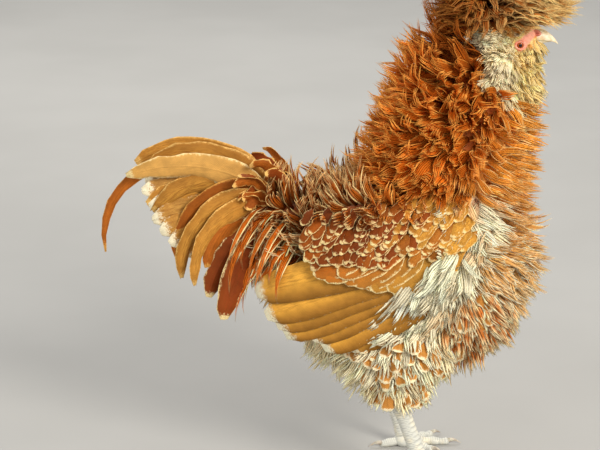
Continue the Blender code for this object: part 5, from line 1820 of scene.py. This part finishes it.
class COCKEREL_OT_stage(CockerelOperator):
    """The plain pale floor, soft studio light and the camera"""
    bl_idname = "cockerel.stage"
    bl_label = "Stage"

    def light(self, name, place, size, power, colour):
        data = bpy.data.lights.new(name, "AREA")
        data.shape = "DISK"
        data.size = size
        data.energy = power
        data.color = colour
        lamp = bpy.data.objects.new(name, data)
        lamp.location = place
        aim = Vector(LIGHT_AIM) - Vector(place)
        lamp.rotation_mode = "QUATERNION"
        lamp.rotation_quaternion = aim.to_track_quat("-Z", "Y")
        bpy.context.scene.collection.objects.link(lamp)

    def execute(self, context):
        deselect()
        bpy.ops.mesh.primitive_plane_add(size=40.0)
        floor = bpy.context.active_object
        floor.name = floor.data.name = "floor"
        floor.data.materials.append(floor_material())
        self.light("key", (1.4, -1.9, 1.6), 1.0, 64.0, (1.0, 0.95, 0.87))
        self.light("fill", (-2.0, -1.6, 1.2), 2.0, 18.0, (1.0, 0.99, 0.96))
        self.light("rim", (-0.4, 1.9, 2.0), 1.4, 30.0, (1.0, 0.98, 0.94))
        world = bpy.data.worlds.new("studio")
        world.use_nodes = True
        sky = world.node_tree.nodes["Background"]
        sky.inputs["Color"].default_value = (1.0, 0.99, 0.97, 1.0)
        sky.inputs["Strength"].default_value = 0.66
        context.scene.world = world
        context.scene.view_settings.view_transform = "Standard"
        data = bpy.data.cameras.new("camera")
        data.lens = LENS
        data.sensor_width = SENSOR
        camera = bpy.data.objects.new("camera", data)
        target = Vector(CAMERA_TARGET)
        back = Vector((0.0, -math.cos(CAMERA_PITCH), math.sin(CAMERA_PITCH)))
        camera.location = target + back * CAMERA_DISTANCE
        camera.rotation_mode = "QUATERNION"
        camera.rotation_quaternion = (-back).to_track_quat("-Z", "Y")
        context.scene.collection.objects.link(camera)
        context.scene.camera = camera
        return {"FINISHED"}


STEPS = (COCKEREL_OT_skin, COCKEREL_OT_eyes, COCKEREL_OT_beak, COCKEREL_OT_legs, COCKEREL_OT_neck,
         COCKEREL_OT_breast, COCKEREL_OT_back, COCKEREL_OT_belly, COCKEREL_OT_saddle, COCKEREL_OT_crest,
         COCKEREL_OT_beard, COCKEREL_OT_wings, COCKEREL_OT_tail, COCKEREL_OT_stage)


class COCKEREL_PT_panel(bpy.types.Panel):
    """The pieces of the cockerel, with their sizes and colours"""
    bl_idname = "COCKEREL_PT_panel"
    bl_label = "Cockerel"
    bl_space_type = "VIEW_3D"
    bl_region_type = "UI"
    bl_category = "Cockerel"

    def draw(self, context):
        layout = self.layout
        for group in (context.scene.cockerel_sizes, context.scene.cockerel_colours):
            box = layout.box()
            for name in group.__annotations__:
                box.prop(group, name)
        for step in STEPS:
            layout.operator(step.bl_idname)


CLASSES = (CockerelSizes, CockerelColours, *STEPS, COCKEREL_PT_panel)


def register():
    for cls in CLASSES:
        bpy.utils.register_class(cls)
    bpy.types.Scene.cockerel_sizes = PointerProperty(type=CockerelSizes)
    bpy.types.Scene.cockerel_colours = PointerProperty(type=CockerelColours)


def unregister():
    del bpy.types.Scene.cockerel_colours
    del bpy.types.Scene.cockerel_sizes
    for cls in reversed(CLASSES):
        bpy.utils.unregister_class(cls)


def main():
    register()
    for step in STEPS:
        group, name = step.bl_idname.split(".")
        result = getattr(getattr(bpy.ops, group), name)()
        if result != {"FINISHED"}:
            raise RuntimeError(f"{step.bl_label} didn't finish")


if __name__ == "__main__":
    main()
